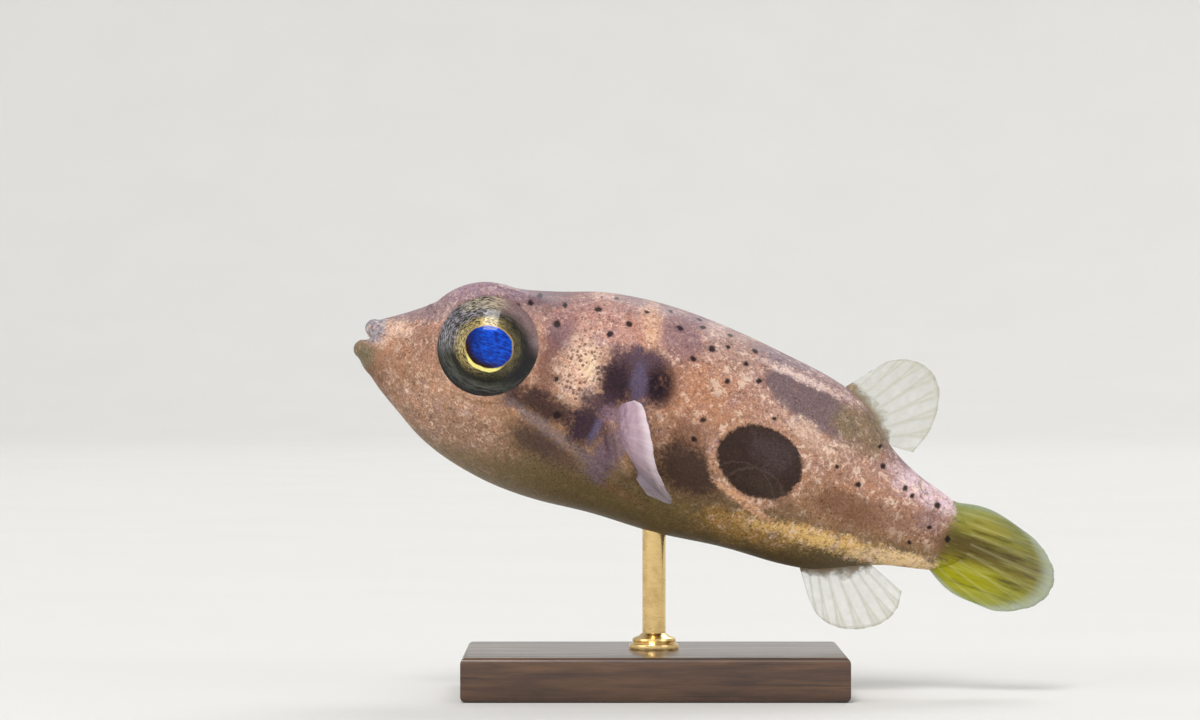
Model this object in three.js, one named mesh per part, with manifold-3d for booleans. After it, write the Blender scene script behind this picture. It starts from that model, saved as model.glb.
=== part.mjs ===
// Dwarf freshwater pufferfish, an adult of 25 mm, as a life-size museum model on a plain display stand.
// Millimetres, +Z up. The fish faces -X with its nose raised, and its left flank is towards -Y.
// The origin is the middle of the stand's underside.
//
// The fish is modelled level, in a frame of its own: x runs from the mouth (0) to the tip of the tail (25),
// y is lateral, and z = 0 is the line from the mouth to the root of the tail fin. Its group is then pitched
// and lifted onto the stand.
import * as THREE from "three";
import { mergeVertices } from "three/addons/utils/BufferGeometryUtils.js";
import Module from "manifold-3d";

// ---------- Driving dimensions ----------

const LEFT = -1;
const RIGHT = 1;

const PITCH = 19.3; // nose-up attitude, in degrees
const MOUTH_HEIGHT = 12.2; // middle of the mouth above the floor
const MOUTH_AHEAD = 10; // middle of the mouth ahead of the stand's centre
const SEAM = 0.14; // gap between neighbouring solids of the fish

// Sections of the body: top and bottom of the outline, half width, height of the widest point, and the
// section's squareness (2 is an ellipse).
const STATIONS = [
  { x: 0.28, top: 0.8, bottom: -0.84, halfWidth: 0.72, widest: 0, square: 2.1 },
  { x: 1, top: 1.19, bottom: -1.4, halfWidth: 1.14, widest: -0.05, square: 2.1 },
  { x: 1.9, top: 1.88, bottom: -1.95, halfWidth: 1.58, widest: 0.05, square: 2.2 },
  { x: 2.9, top: 2.82, bottom: -2.54, halfWidth: 2.02, widest: 0.35, square: 2.45 },
  { x: 3.7, top: 3.25, bottom: -2.86, halfWidth: 2.3, widest: 0.5, square: 2.5 },
  { x: 4.6, top: 3.35, bottom: -3.1, halfWidth: 2.54, widest: 0.5, square: 2.5 },
  { x: 5.9, top: 3.72, bottom: -3.29, halfWidth: 2.84, widest: 0.35, square: 2.35 },
  { x: 7.4, top: 4.22, bottom: -3.3, halfWidth: 3.08, widest: 0.2, square: 2.15 },
  { x: 9.4, top: 4.5, bottom: -3.1, halfWidth: 3.2, widest: 0.1, square: 2.1 },
  { x: 11.6, top: 4.48, bottom: -3.02, halfWidth: 3.06, widest: 0.1, square: 2.1 },
  { x: 14, top: 4.24, bottom: -2.72, halfWidth: 2.58, widest: 0.25, square: 2.05 },
  { x: 16, top: 3.93, bottom: -2.62, halfWidth: 2.02, widest: 0.35, square: 2 },
  { x: 17.2, top: 3.42, bottom: -2.42, halfWidth: 1.66, widest: 0.3, square: 2 },
  { x: 18.2, top: 2.56, bottom: -1.98, halfWidth: 1.36, widest: 0.2, square: 2 },
  { x: 19.4, top: 1.92, bottom: -1.5, halfWidth: 1.02, widest: 0.15, square: 2 },
  { x: 20.5, top: 1.58, bottom: -1.28, halfWidth: 0.74, widest: 0.1, square: 2 },
  { x: 21.3, top: 1.42, bottom: -1.24, halfWidth: 0.5, widest: 0.08, square: 2 },
];
const SNOUT_X = STATIONS[0].x;
const TAIL_ROOT_X = STATIONS[STATIONS.length - 1].x;
const FACETS_AROUND = 30;
const FACETS_ALONG = 31;

// The tail swings a little to the left: not at all at from, and by reach at tip.
const SWING = { from: 12, tip: 25, reach: 0.6 };

// Each eyeball is a flattened ball: out is its centre's distance from the middle plane, and turn and lift
// are the degrees by which it looks forwards and upwards. The orbit is the swelling of the head round it.
const EYE = { x: 4.22, z: 1.05, out: 1.88, radius: 1.76, halfDepth: 0.98, turn: 4, lift: 9 };
const ORBIT = { x: 4.2, z: 1.1, out: 1.1, halfLength: 2.3, halfWidth: 1.12, halfHeight: 2.16 };

// A nostril is a low cone on the snout, up from the flank by angle degrees.
const NOSTRIL = { x: 2.25, angle: 48, footRadius: 0.2, tipRadius: 0.12, height: 0.2, forward: 0.3 };

// The lips are two halves of a ring round the mouth, each with its own centre and height; the corners of
// the mouth are set back along the cheeks.
const MOUTH = { z: 0.09, gape: 0.13, halfWidth: 0.56, lipRadius: 0.26, cornerBack: 0.34 };
const UPPER_LIP = { x: 0.25, height: 0.42, up: 1 };
const LOWER_LIP = { x: 0.08, height: 0.5, up: -1 };
const BEAK = { x: 0.66, halfLength: 0.5, halfWidth: 0.34, halfHeight: 0.36, gap: 0.08 };

const GILL_CUT = { x: 8.9, lean: PITCH }; // head from trunk, upright once the fish is pitched
const TAIL_CUT = { x: 18.45, lean: 0 }; // trunk from tail stalk, behind the dorsal fin
const BELLY_TOP = -1.72; // the belly is the part of the trunk below this height

// Fins are a membrane with rays: each ray stands proud as a ridge, and the root is thicker by fleshy, which
// fades out over a share of the fin's length.
const MEMBRANE = 0.5;
const RAY_RIDGE = 0.09;
// The dorsal and anal fins: [x, z] of the two ends of the root, then the rays' direction in degrees and
// their length at each end; fullness is how much longer the middle rays are.
const DORSAL = {
  rootFrom: [16.35, 3.9],
  rootTo: [18.1, 2.5],
  angleFrom: 52,
  angleTo: 4,
  lengthFrom: 2.1,
  lengthTo: 1.2,
  fullness: 0.95,
  rays: 9,
  fleshy: 0.25,
  fleshyShare: 0.4,
  buried: 0.25,
};
const ANAL = {
  rootFrom: [16.75, -2.55],
  rootTo: [18.9, -1.6],
  angleFrom: -48,
  angleTo: -16,
  lengthFrom: 1.95,
  lengthTo: 1.5,
  fullness: 0.85,
  rays: 9,
  fleshy: 0.25,
  fleshyShare: 0.4,
  buried: 0.25,
};
const CAUDAL = {
  rootX: TAIL_ROOT_X + SEAM,
  rootZ: 0.09,
  rootHalf: 1.24,
  tipX: 25,
  tipZ: -0.12,
  tipHalf: 1.58,
  cornerBack: 1.7,
  rays: 10,
  fleshy: 0.4,
  fleshyShare: 0.3,
  buried: 0,
};
// The pectoral fin, top ray to bottom ray: its root as [x, z] on the flank, and its edge as [x, z, reach out
// from the flank]. The rays bow forwards by bow, and a fleshy pad carries the root.
const PECTORAL = {
  root: [
    [9.15, 0.85],
    [9.5, -0.35],
    [10.1, -1.5],
  ],
  edge: [
    [9.45, 1.1, 1.3],
    [10.15, 0.55, 2.1],
    [10.6, -0.25, 2.4],
    [11, -1.1, 2.1],
    [12.15, -1.85, 1.2],
  ],
  bow: 0.2,
  rays: 10,
  fleshy: 0.25,
  fleshyShare: 0.4,
  buried: 0.2,
};
const PAD = { x: 9.5, z: -0.35, sunk: 0.15, halfLength: 0.6, halfWidth: 0.45, halfHeight: 1.3, lean: 26 };

const ROD = { radius: 0.4, inBelly: 0.9, inBase: 0.9, facets: 16 };
const SOCKET_GAP = 0.06; // round the rod, in the belly, the base and the ferrule
const BASE = { length: 13, width: 9, height: 1.5, corner: 1.6, chamfer: 0.2, cornerFacets: 6 };
const FERRULE = { radius: 0.85, height: 0.55, chamfer: 0.15, lift: 0.02 };

// ---------- Materials ----------

const SKIN = new THREE.MeshStandardMaterial({ color: 0xb08568, roughness: 0.45 });
const BELLY_SKIN = new THREE.MeshStandardMaterial({ color: 0x86705a, roughness: 0.5 });
const LIP_SKIN = new THREE.MeshStandardMaterial({ color: 0xb9a39a, roughness: 0.4 });
const TOOTH = new THREE.MeshStandardMaterial({ color: 0xe8e2d2, roughness: 0.3 });
const EYE_GLOSS = new THREE.MeshStandardMaterial({ color: 0x2b3a3c, roughness: 0.1 });
const CLEAR_FIN = new THREE.MeshStandardMaterial({ color: 0xa9b08e, opacity: 0.6, transparent: true });
const TAIL_FIN = new THREE.MeshStandardMaterial({ color: 0x9c9a4a, opacity: 0.8, transparent: true });
const DARK_WOOD = new THREE.MeshStandardMaterial({ color: 0x3a2a20, roughness: 0.4 });
const BRASS = new THREE.MeshStandardMaterial({ color: 0xc9a050, roughness: 0.25, metalness: 1 });

// ---------- Solids ----------

const wasm = await Module();
wasm.setup();

const { lerp, clamp, degToRad, smoothstep } = THREE.MathUtils;

// A closed three.js geometry as a solid that can be cut and joined.
function solidOf(geometry) {
  const bare = geometry.clone();
  bare.deleteAttribute("normal");
  bare.deleteAttribute("uv");
  const merged = mergeVertices(bare, 1e-4);
  return new wasm.Manifold(
    new wasm.Mesh({
      numProp: 3,
      vertProperties: merged.getAttribute("position").array,
      triVerts: new Uint32Array(merged.index.array),
    }),
  );
}

// A solid's surface as a three.js geometry.
function geometryOf(solid) {
  const mesh = solid.getMesh();
  const points = new Float32Array(mesh.numVert * 3);
  for (let i = 0; i < mesh.numVert; i++) {
    points.set(mesh.vertProperties.subarray(i * mesh.numProp, i * mesh.numProp + 3), i * 3);
  }
  return new THREE.BufferGeometry()
    .setAttribute("position", new THREE.BufferAttribute(points, 3))
    .setIndex(new THREE.BufferAttribute(mesh.triVerts, 1));
}

// Moves each vertex of a geometry to where place says.
function shaped(geometry, place) {
  const position = geometry.getAttribute("position");
  const vertex = new THREE.Vector3();
  for (let i = 0; i < position.count; i++) {
    const moved = place(vertex.fromBufferAttribute(position, i));
    position.setXYZ(i, moved.x, moved.y, moved.z);
  }
  return geometry;
}

// A large block with one face on the plane through point, on the side that towards points to.
function halfSpace(point, towards) {
  const reach = 60;
  const block = new THREE.BoxGeometry(reach, reach, reach).translate(0, 0, reach / 2);
  const turn = new THREE.Quaternion().setFromUnitVectors(new THREE.Vector3(0, 0, 1), towards);
  return solidOf(block.applyQuaternion(turn).translate(point.x, point.y, point.z));
}

// ---------- The body's form ----------

// The value of one measure of STATIONS at x: a smooth cubic through the stations, whose slope at each is
// taken from its neighbours.
function at(measure, x) {
  const last = STATIONS.length - 1;
  const next = STATIONS.findIndex((station) => station.x > x);
  const i = next < 0 ? last - 1 : Math.max(next - 1, 0);
  const slope = (k) => {
    const before = STATIONS[Math.max(k - 1, 0)];
    const after = STATIONS[Math.min(k + 1, last)];
    return (after[measure] - before[measure]) / (after.x - before.x);
  };
  const span = STATIONS[i + 1].x - STATIONS[i].x;
  const t = clamp((x - STATIONS[i].x) / span, 0, 1);
  const startShare = (1 + 2 * t) * (1 - t) ** 2;
  const bend = slope(i) * t * (1 - t) ** 2 - slope(i + 1) * t ** 2 * (1 - t);
  return startShare * STATIONS[i][measure] + (1 - startShare) * STATIONS[i + 1][measure] + span * bend;
}

// The point at x and at this angle up from the left flank. share is 1 on the surface and 0 on the middle
// line, and grow moves the surface out.
function bodyPoint(x, angle, share = 1, grow = 0) {
  const power = 2 / at("square", x);
  const across = Math.sign(Math.cos(angle)) * Math.abs(Math.cos(angle)) ** power;
  const up = Math.sign(Math.sin(angle)) * Math.abs(Math.sin(angle)) ** power;
  const widest = at("widest", x);
  const height = up > 0 ? at("top", x) - widest : widest - at("bottom", x);
  const y = LEFT * share * across * (at("halfWidth", x) + grow);
  return new THREE.Vector3(x, y, widest + share * up * (height + grow));
}

// How far the flank stands out from the middle plane.
function flankReach(x, z) {
  const widest = at("widest", x);
  const height = z > widest ? at("top", x) - widest : widest - at("bottom", x);
  const square = at("square", x);
  return at("halfWidth", x) * (1 - (Math.abs(z - widest) / height) ** square) ** (1 / square);
}

// The bare body, from the snout to the root of the tail fin.
function bareBody(grow = 0) {
  const start = SNOUT_X - grow;
  const length = TAIL_ROOT_X + grow - start;
  const drum = new THREE.CylinderGeometry(1, 1, 1, FACETS_AROUND, FACETS_ALONG);
  return solidOf(
    shaped(drum, (v) => {
      const x = start + length * (v.y + 0.5);
      return bodyPoint(x, Math.atan2(v.z, v.x), Math.hypot(v.x, v.z), grow);
    }),
  );
}

function eyeball(side, grow = 0) {
  const ball = new THREE.SphereGeometry(1, 20, 12);
  ball.scale(EYE.radius + grow, EYE.halfDepth + grow, EYE.radius + grow);
  ball.rotateX(side * degToRad(EYE.lift));
  ball.rotateZ(side * degToRad(EYE.turn));
  return solidOf(ball.translate(EYE.x, side * EYE.out, EYE.z));
}

function orbit(side) {
  const ball = new THREE.SphereGeometry(1, 18, 10);
  ball.scale(ORBIT.halfLength, ORBIT.halfWidth, ORBIT.halfHeight);
  return solidOf(ball.translate(ORBIT.x, side * ORBIT.out, ORBIT.z));
}

function nostril(side) {
  const angle = degToRad(side === LEFT ? NOSTRIL.angle : 180 - NOSTRIL.angle);
  const foot = bodyPoint(NOSTRIL.x, angle);
  const outward = new THREE.Vector3(-NOSTRIL.forward, LEFT * Math.cos(angle), Math.sin(angle)).normalize();
  const cone = new THREE.CylinderGeometry(NOSTRIL.tipRadius, NOSTRIL.footRadius, 2 * NOSTRIL.height, 8);
  cone.applyQuaternion(new THREE.Quaternion().setFromUnitVectors(new THREE.Vector3(0, 1, 0), outward));
  return solidOf(cone.translate(foot.x, foot.y, foot.z));
}

// ---------- Mouth ----------

// The half of a solid above or below the mouth's line, off it by a gap.
function halfAtMouth(solid, up, gap) {
  return solid.intersect(halfSpace(new THREE.Vector3(0, 0, MOUTH.z + up * gap), new THREE.Vector3(0, 0, up)));
}

function lip({ x, height, up }, grow = 0) {
  const ring = new THREE.TorusGeometry(1, (MOUTH.lipRadius + grow) / height, 8, 20);
  shaped(ring, (v) => {
    const back = MOUTH.cornerBack * Math.min(1, Math.abs(v.x)) ** 2;
    return new THREE.Vector3(x + back + v.z * height, v.x * MOUTH.halfWidth, MOUTH.z + v.y * height);
  });
  return halfAtMouth(solidOf(ring), up, MOUTH.gape / 2 - grow);
}

// Half of the beak: teeth fused into a rounded plate behind the lip.
function beak(up, grow = 0) {
  const ball = new THREE.SphereGeometry(1, 12, 8);
  ball.scale(BEAK.halfLength + grow, BEAK.halfWidth + grow, BEAK.halfHeight + grow);
  return halfAtMouth(solidOf(ball.translate(BEAK.x, 0, MOUTH.z)), up, BEAK.gap / 2 - grow);
}

// ---------- Fins ----------

// A fin from its middle surface: point(v, f), with v from 0 on the first ray to 1 on the last, and f from 0
// at the root to 1 at the edge. It starts below the skin, by buried of its length.
function fin(point, { rays, fleshy, fleshyShare, buried }, steps) {
  const columns = 2 * (rays - 1);
  const slab = new THREE.BoxGeometry(1, 1, 1, columns, steps, 1);
  const nudge = 1e-3;
  return solidOf(
    shaped(slab, (p) => {
      const v = p.x + 0.5;
      const f = lerp(-buried, 1, p.y + 0.5);
      const middle = point(v, f);
      const alongRay = point(v, f + nudge).sub(middle);
      const acrossRays = point(v + nudge, f).sub(middle);
      const normal = acrossRays.cross(alongRay).normalize();
      const onRay = Math.round(v * columns) % 2 === 0;
      const ridge = onRay ? RAY_RIDGE * Math.min(1, 1 - f) : 0;
      const root = fleshy * (1 - smoothstep(f, 0, fleshyShare));
      return middle.addScaledVector(normal, p.z * (MEMBRANE + ridge + root));
    }),
  );
}

// The dorsal or anal fin: rays that fan out from a straight root in the middle plane.
function medianPoint(v, f, { rootFrom, rootTo, angleFrom, angleTo, lengthFrom, lengthTo, fullness }) {
  const angle = degToRad(lerp(angleFrom, angleTo, v));
  const fuller = fullness * Math.sin(Math.PI * clamp(v, 0, 1)) ** 0.8;
  const length = lerp(lengthFrom, lengthTo, v) + fuller;
  const x = lerp(rootFrom[0], rootTo[0], v) + f * length * Math.cos(angle);
  return new THREE.Vector3(x, 0, lerp(rootFrom[1], rootTo[1], v) + f * length * Math.sin(angle));
}

// The tail fin: rays that spread from the end of the tail stalk to a rounded edge.
function caudalPoint(v, f) {
  const across = 2 * v - 1;
  const edgeX = CAUDAL.tipX - CAUDAL.cornerBack * Math.min(1, Math.abs(across)) ** 3;
  const rootZ = CAUDAL.rootZ + CAUDAL.rootHalf * across;
  const edgeZ = CAUDAL.tipZ + CAUDAL.tipHalf * across;
  return new THREE.Vector3(lerp(CAUDAL.rootX, edgeX, f), 0, lerp(rootZ, edgeZ, Math.max(f, 0) ** 0.8));
}

const pectoralRoot = new THREE.CatmullRomCurve3(
  PECTORAL.root.map(([x, z]) => new THREE.Vector3(x, flankReach(x, z), z)),
);
const pectoralEdge = new THREE.CatmullRomCurve3(
  PECTORAL.edge.map(([x, z, reach]) => new THREE.Vector3(x, flankReach(x, z) + reach, z)),
);

function pectoralPoint(v, f, side) {
  const share = clamp(v, 0, 1);
  const point = pectoralRoot.getPoint(share).lerp(pectoralEdge.getPoint(share), f);
  point.x -= 4 * PECTORAL.bow * f * (1 - f);
  point.y *= side;
  return point;
}

function pectoralPad(side, grow = 0) {
  const ball = new THREE.SphereGeometry(1, 16, 12);
  ball.scale(PAD.halfLength + grow, PAD.halfWidth + grow, PAD.halfHeight + grow);
  ball.rotateY(-degToRad(PAD.lean));
  return solidOf(ball.translate(PAD.x, side * (flankReach(PAD.x, PAD.z) - PAD.sunk), PAD.z));
}

// ---------- Stand ----------

const pose = new THREE.Matrix4()
  .makeTranslation(-MOUTH_AHEAD, 0, MOUTH_HEIGHT)
  .multiply(new THREE.Matrix4().makeRotationY(degToRad(PITCH)));

// Height of the belly's lowest line straight above the stand's centre, found by closing in on the section
// that the pitch brings there.
function bellyHeight() {
  const [sin, cos] = [Math.sin(degToRad(PITCH)), Math.cos(degToRad(PITCH))];
  let x = MOUTH_AHEAD;
  for (let i = 0; i < 8; i++) {
    x = (MOUTH_AHEAD - at("bottom", x) * sin) / cos;
  }
  return new THREE.Vector3(x, 0, at("bottom", x)).applyMatrix4(pose).z;
}

const ROD_TOP = bellyHeight() + ROD.inBelly;
const ROD_BOTTOM = BASE.height - ROD.inBase;

// A round bar on the stand's vertical axis.
function bar(radius, bottom, top) {
  const cylinder = new THREE.CylinderGeometry(radius, radius, top - bottom, ROD.facets);
  return cylinder.rotateX(Math.PI / 2).translate(0, 0, (top + bottom) / 2);
}

function base() {
  const { height, corner, chamfer } = BASE;
  const x = BASE.length / 2 - chamfer - corner;
  const y = BASE.width / 2 - chamfer - corner;
  const quarter = Math.PI / 2;
  const outline = new THREE.Shape();
  outline.absarc(x, -y, corner, -quarter, 0);
  outline.absarc(x, y, corner, 0, quarter);
  outline.absarc(-x, y, corner, quarter, 2 * quarter);
  outline.absarc(-x, -y, corner, 2 * quarter, 3 * quarter);
  const slab = new THREE.ExtrudeGeometry(outline, {
    depth: height - 2 * chamfer,
    curveSegments: BASE.cornerFacets,
    bevelSize: chamfer,
    bevelThickness: chamfer,
    bevelSegments: 1,
  });
  const socket = bar(ROD.radius + SOCKET_GAP, ROD_BOTTOM - SOCKET_GAP, height + 1);
  return solidOf(slab.translate(0, 0, chamfer)).subtract(solidOf(socket));
}

// A chamfered ring round the foot of the rod.
function ferrule() {
  const { radius, height, chamfer } = FERRULE;
  const inner = ROD.radius + SOCKET_GAP;
  const section = [
    [inner, 0],
    [radius, 0],
    [radius, height - chamfer],
    [radius - chamfer, height],
    [inner, height],
    [inner, 0],
  ].map(([r, z]) => new THREE.Vector2(r, z));
  const ring = new THREE.LatheGeometry(section, ROD.facets).rotateX(Math.PI / 2);
  return solidOf(ring.translate(0, 0, BASE.height + FERRULE.lift));
}

// ---------- The fish, whole and then parted ----------

function wholeBody() {
  let body = bareBody();
  for (const side of [LEFT, RIGHT]) {
    body = body.add(orbit(side)).add(nostril(side)).add(pectoralPad(side));
  }
  for (const side of [LEFT, RIGHT]) {
    body = body.subtract(eyeball(side, SEAM));
  }
  for (const one of [UPPER_LIP, LOWER_LIP]) {
    body = body.subtract(lip(one, SEAM)).subtract(beak(one.up, SEAM));
  }
  const socket = bar(ROD.radius + SOCKET_GAP, 0, ROD_TOP + SOCKET_GAP);
  return body.subtract(solidOf(socket.applyMatrix4(pose.clone().invert())));
}

// Everything ahead of a cut across the fish (towards the head), or behind it.
function beside({ x, lean }, isBehind) {
  const backwards = new THREE.Vector3(Math.cos(degToRad(lean)), 0, Math.sin(degToRad(lean)));
  const point = backwards.clone().multiplyScalar(isBehind ? SEAM / 2 : -SEAM / 2);
  point.x += x;
  return halfSpace(point, isBehind ? backwards : backwards.negate());
}

function aboveOrBelow(z, up) {
  return halfSpace(new THREE.Vector3(0, 0, z + (up * SEAM) / 2), new THREE.Vector3(0, 0, up));
}

const body = wholeBody();
const trunkAndBelly = body.intersect(beside(GILL_CUT, true)).intersect(beside(TAIL_CUT, false));
const clearOfBody = bareBody(SEAM);

function medianFin(shape, steps) {
  return fin((v, f) => medianPoint(v, f, shape), shape, steps).subtract(clearOfBody);
}

function pectoralFin(side) {
  const whole = fin((v, f) => pectoralPoint(v, f, side), PECTORAL, 4);
  return whole.subtract(clearOfBody).subtract(pectoralPad(side, SEAM));
}

// ---------- Assembly ----------

// The swing of the tail, given to every piece of the fish once it is cut.
function swung(geometry) {
  return shaped(geometry, (v) => {
    const share = Math.max(0, v.x - SWING.from) / (SWING.tip - SWING.from);
    v.y += LEFT * SWING.reach * share ** 2;
    return v;
  });
}

function addTo(group, name, geometry, material) {
  const mesh = new THREE.Mesh(geometry, material);
  mesh.name = name;
  group.add(mesh);
}

const fish = new THREE.Group();
fish.applyMatrix4(pose);

const FISH_PIECES = {
  head: [body.intersect(beside(GILL_CUT, false)), SKIN],
  trunk: [trunkAndBelly.intersect(aboveOrBelow(BELLY_TOP, 1)), SKIN],
  belly: [trunkAndBelly.intersect(aboveOrBelow(BELLY_TOP, -1)), BELLY_SKIN],
  tail_stalk: [body.intersect(beside(TAIL_CUT, true)), SKIN],
  lip_upper: [lip(UPPER_LIP).subtract(beak(UPPER_LIP.up, SEAM / 2)), LIP_SKIN],
  lip_lower: [lip(LOWER_LIP).subtract(beak(LOWER_LIP.up, SEAM / 2)), LIP_SKIN],
  beak_upper: [beak(UPPER_LIP.up), TOOTH],
  beak_lower: [beak(LOWER_LIP.up), TOOTH],
  eye_left: [eyeball(LEFT), EYE_GLOSS],
  eye_right: [eyeball(RIGHT), EYE_GLOSS],
  dorsal_fin: [medianFin(DORSAL, 4), CLEAR_FIN],
  anal_fin: [medianFin(ANAL, 4), CLEAR_FIN],
  tail_fin: [fin(caudalPoint, CAUDAL, 5), TAIL_FIN],
  pectoral_fin_left: [pectoralFin(LEFT), CLEAR_FIN],
  pectoral_fin_right: [pectoralFin(RIGHT), CLEAR_FIN],
};
for (const [name, [solid, material]] of Object.entries(FISH_PIECES)) {
  addTo(fish, name, swung(geometryOf(solid)), material);
}

const stand = new THREE.Group();
addTo(stand, "stand_base", geometryOf(base()), DARK_WOOD);
addTo(stand, "stand_ferrule", geometryOf(ferrule()), BRASS);
addTo(stand, "stand_rod", bar(ROD.radius, ROD_BOTTOM, ROD_TOP), BRASS);

const part = new THREE.Group();
part.add(fish, stand);

export default part;
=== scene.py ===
"""Dwarf freshwater pufferfish, an adult of 25 mm, as a life-size museum model on a plain display stand.

The fish is modelled level and in millimetres: x runs from the mouth (0) to the tip of the tail (25), z = 0
is the line from the mouth to the root of the tail fin, and its left flank is towards -Y. Each finished piece
is then swung with the tail, pitched, brought to metres and lifted onto the stand.
"""

import math

import bmesh
import bpy
from mathutils import Matrix, Vector


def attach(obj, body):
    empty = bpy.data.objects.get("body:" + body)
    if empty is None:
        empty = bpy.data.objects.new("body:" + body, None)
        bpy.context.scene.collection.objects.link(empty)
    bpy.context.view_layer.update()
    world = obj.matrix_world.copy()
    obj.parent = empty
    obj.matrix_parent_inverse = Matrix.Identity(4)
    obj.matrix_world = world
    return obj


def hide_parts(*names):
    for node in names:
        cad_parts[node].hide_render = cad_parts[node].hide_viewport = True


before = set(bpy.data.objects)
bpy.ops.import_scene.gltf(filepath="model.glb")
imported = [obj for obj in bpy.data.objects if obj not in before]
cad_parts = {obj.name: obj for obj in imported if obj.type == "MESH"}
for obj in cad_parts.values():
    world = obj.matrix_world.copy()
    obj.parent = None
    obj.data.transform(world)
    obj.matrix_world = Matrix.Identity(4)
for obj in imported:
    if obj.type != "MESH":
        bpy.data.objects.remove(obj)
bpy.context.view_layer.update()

# ---------- Measures ----------

MM = 0.001
LEFT = -1
RIGHT = 1
SIDES = {"left": LEFT, "right": RIGHT}

PITCH = math.radians(19.3)
MOUTH_PLACE = Vector((-10, 0, 12.2))
ON_STAND = Matrix.Scale(MM, 4) @ Matrix.Translation(MOUTH_PLACE) @ Matrix.Rotation(PITCH, 4, "Y")
SWING = {"start": 12, "tip": 25, "reach": 0.6}

# Sections of the body; widest is the height of its widest point. The last three taper into the tail fin.
COLUMNS = ("x", "top", "bottom", "half_width", "widest", "square")
SECTIONS = [
    dict(zip(COLUMNS, row))
    for row in (
        (0.28, 0.74, -0.8, 0.64, 0, 2.1),
        (1, 1.19, -1.4, 1.14, -0.05, 2.1),
        (1.9, 1.88, -1.95, 1.58, 0.05, 2.2),
        (2.9, 2.82, -2.54, 2.02, 0.35, 2.25),
        (3.7, 3.25, -2.86, 2.3, 0.5, 2.2),
        (4.6, 3.35, -3.1, 2.54, 0.5, 2.2),
        (5.9, 3.72, -3.29, 2.84, 0.35, 2.2),
        (7.4, 4.22, -3.3, 3.08, 0.2, 2.15),
        (9.4, 4.5, -3.1, 3.2, 0.1, 2.1),
        (11.6, 4.48, -3.02, 3.06, 0.1, 2.1),
        (14, 4.24, -2.72, 2.58, 0.25, 2.05),
        (16, 3.93, -2.62, 2.02, 0.35, 2),
        (17.2, 3.42, -2.42, 1.66, 0.3, 2),
        (18.2, 2.56, -1.98, 1.36, 0.2, 2),
        (19.4, 1.92, -1.5, 1.02, 0.15, 2),
        (20.5, 1.6, -1.26, 0.68, 0.1, 2),
        (21.1, 1.42, -1.14, 0.36, 0.12, 2),
        (21.7, 1.0, -0.82, 0.1, 0.12, 2),
        (22.2, 0.5, -0.35, 0.03, 0.1, 2),
    )
]

EYE = {"x": 4.32, "z": 1.07, "out": 1.82, "radius": 2.0, "half_depth": 0.95, "turn": 11, "lift": 9}
PUPIL = {"x": 4.28, "z": 1.13, "radius": 0.83}
# The rim of the eye lies so far out from the eyeball's middle that only its dome shows.
EYE_RIM = {"depth": 0.42, "radius": 1.84, "roll": 0.12}
# Round the rim the skin may rise by this much over the slope, and is filled up to it over the shelf.
SOCKET = {"rise": 1.2, "slope": (1.8, 4.2), "shelf": (1.9, 3.0), "floor": (-1.1, -0.4)}
ORBIT = {"x": 4.2, "z": 1.1, "out": 0.95, "half_size": (2.3, 1.3, 2.14)}
# Guide points from one corner of the mouth round to the middle: x, half width, z, radius.
UPPER_LIP = ((0.66, 0.6, 0.12, 0.16), (0.34, 0.5, 0.46, 0.32), (0.11, 0, 0.48, 0.38))
LOWER_LIP = ((0.66, 0.6, -0.02, 0.16), (0.22, 0.56, -0.4, 0.33), (-0.07, 0, -0.48, 0.4))
MOUTH_Z = 0.04
MOUTH_SLIT = {"x": 0.45, "half_size": (0.75, 0.46, 0.11)}
CHIN = {"place": (0.66, 0, -0.62), "half_size": (0.74, 0.62, 0.44), "lean": 40}
BEAK = {"x": 0.66, "half_size": (0.5, 0.34, 0.36), "gap": 0.08, "seam": 0.03, "bevel": 0.03}
BEAK_HOLLOW = {"x": 0.71, "room": 0.03}
NOSTRIL = {"x": 2.1, "angle": 46, "height": 0.32, "foot": 0.4, "tip": 0.24, "pit": 0.12, "forward": 0.3}
# Down the edge of the gill cover (x, z), and the radii of its raised edge and of the slit behind it.
GILL_LINE = ((8.72, 0.62), (8.84, 0.12), (9.08, -0.42), (9.38, -0.95), (9.75, -1.4))
GILL_COVER = {"ahead": (-0.3, 0, -0.06), "proud": -0.1, "radii": (0.1, 0.3, 0.38, 0.32, 0.1)}
GILL_SLIT = {"proud": 0.14, "radii": (0.04, 0.15, 0.2, 0.17, 0.04)}
PAD = {"x": 9.74, "z": -0.4, "sunk": 0.12, "half_size": (0.46, 0.42, 1.32), "lean": 26}

# Fins: the two ends of the root, and guide points round the outer edge from the first ray to the last.
DORSAL = {
    "root": ((16.3, 4.0), (18.15, 2.45)),
    "edge": (
        (16.8, 4.6), (17.25, 5.15), (17.9, 5.45), (18.6, 5.42),
        (19.15, 5.0), (19.4, 4.3), (19.4, 3.4), (19.1, 2.5),
    ),
    "rays": 9,
    "wave": 0.06,
}
ANAL = {
    "root": ((16.75, -2.5), (18.9, -1.55)),
    "edge": (
        (17.4, -3.4), (17.9, -3.85), (18.6, -4.0), (19.4, -3.8),
        (20.05, -3.35), (20.35, -2.75), (20.3, -2.1),
    ),
    "rays": 9,
    "wave": 0.06,
}
CAUDAL = {
    "root": ((20.95, -1.1), (21.15, 1.4)),
    "edge": (
        (22.6, -1.66), (23.5, -1.68), (24.2, -1.42), (24.8, -0.98), (25.08, -0.4),
        (25.0, 0.2), (24.6, 0.68), (24.0, 1.07), (23.1, 1.36),
    ),
    "belly": 0.16,
    "rays": 10,
    "wave": 0.05,
    "root_share": 0.35,
}
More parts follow.
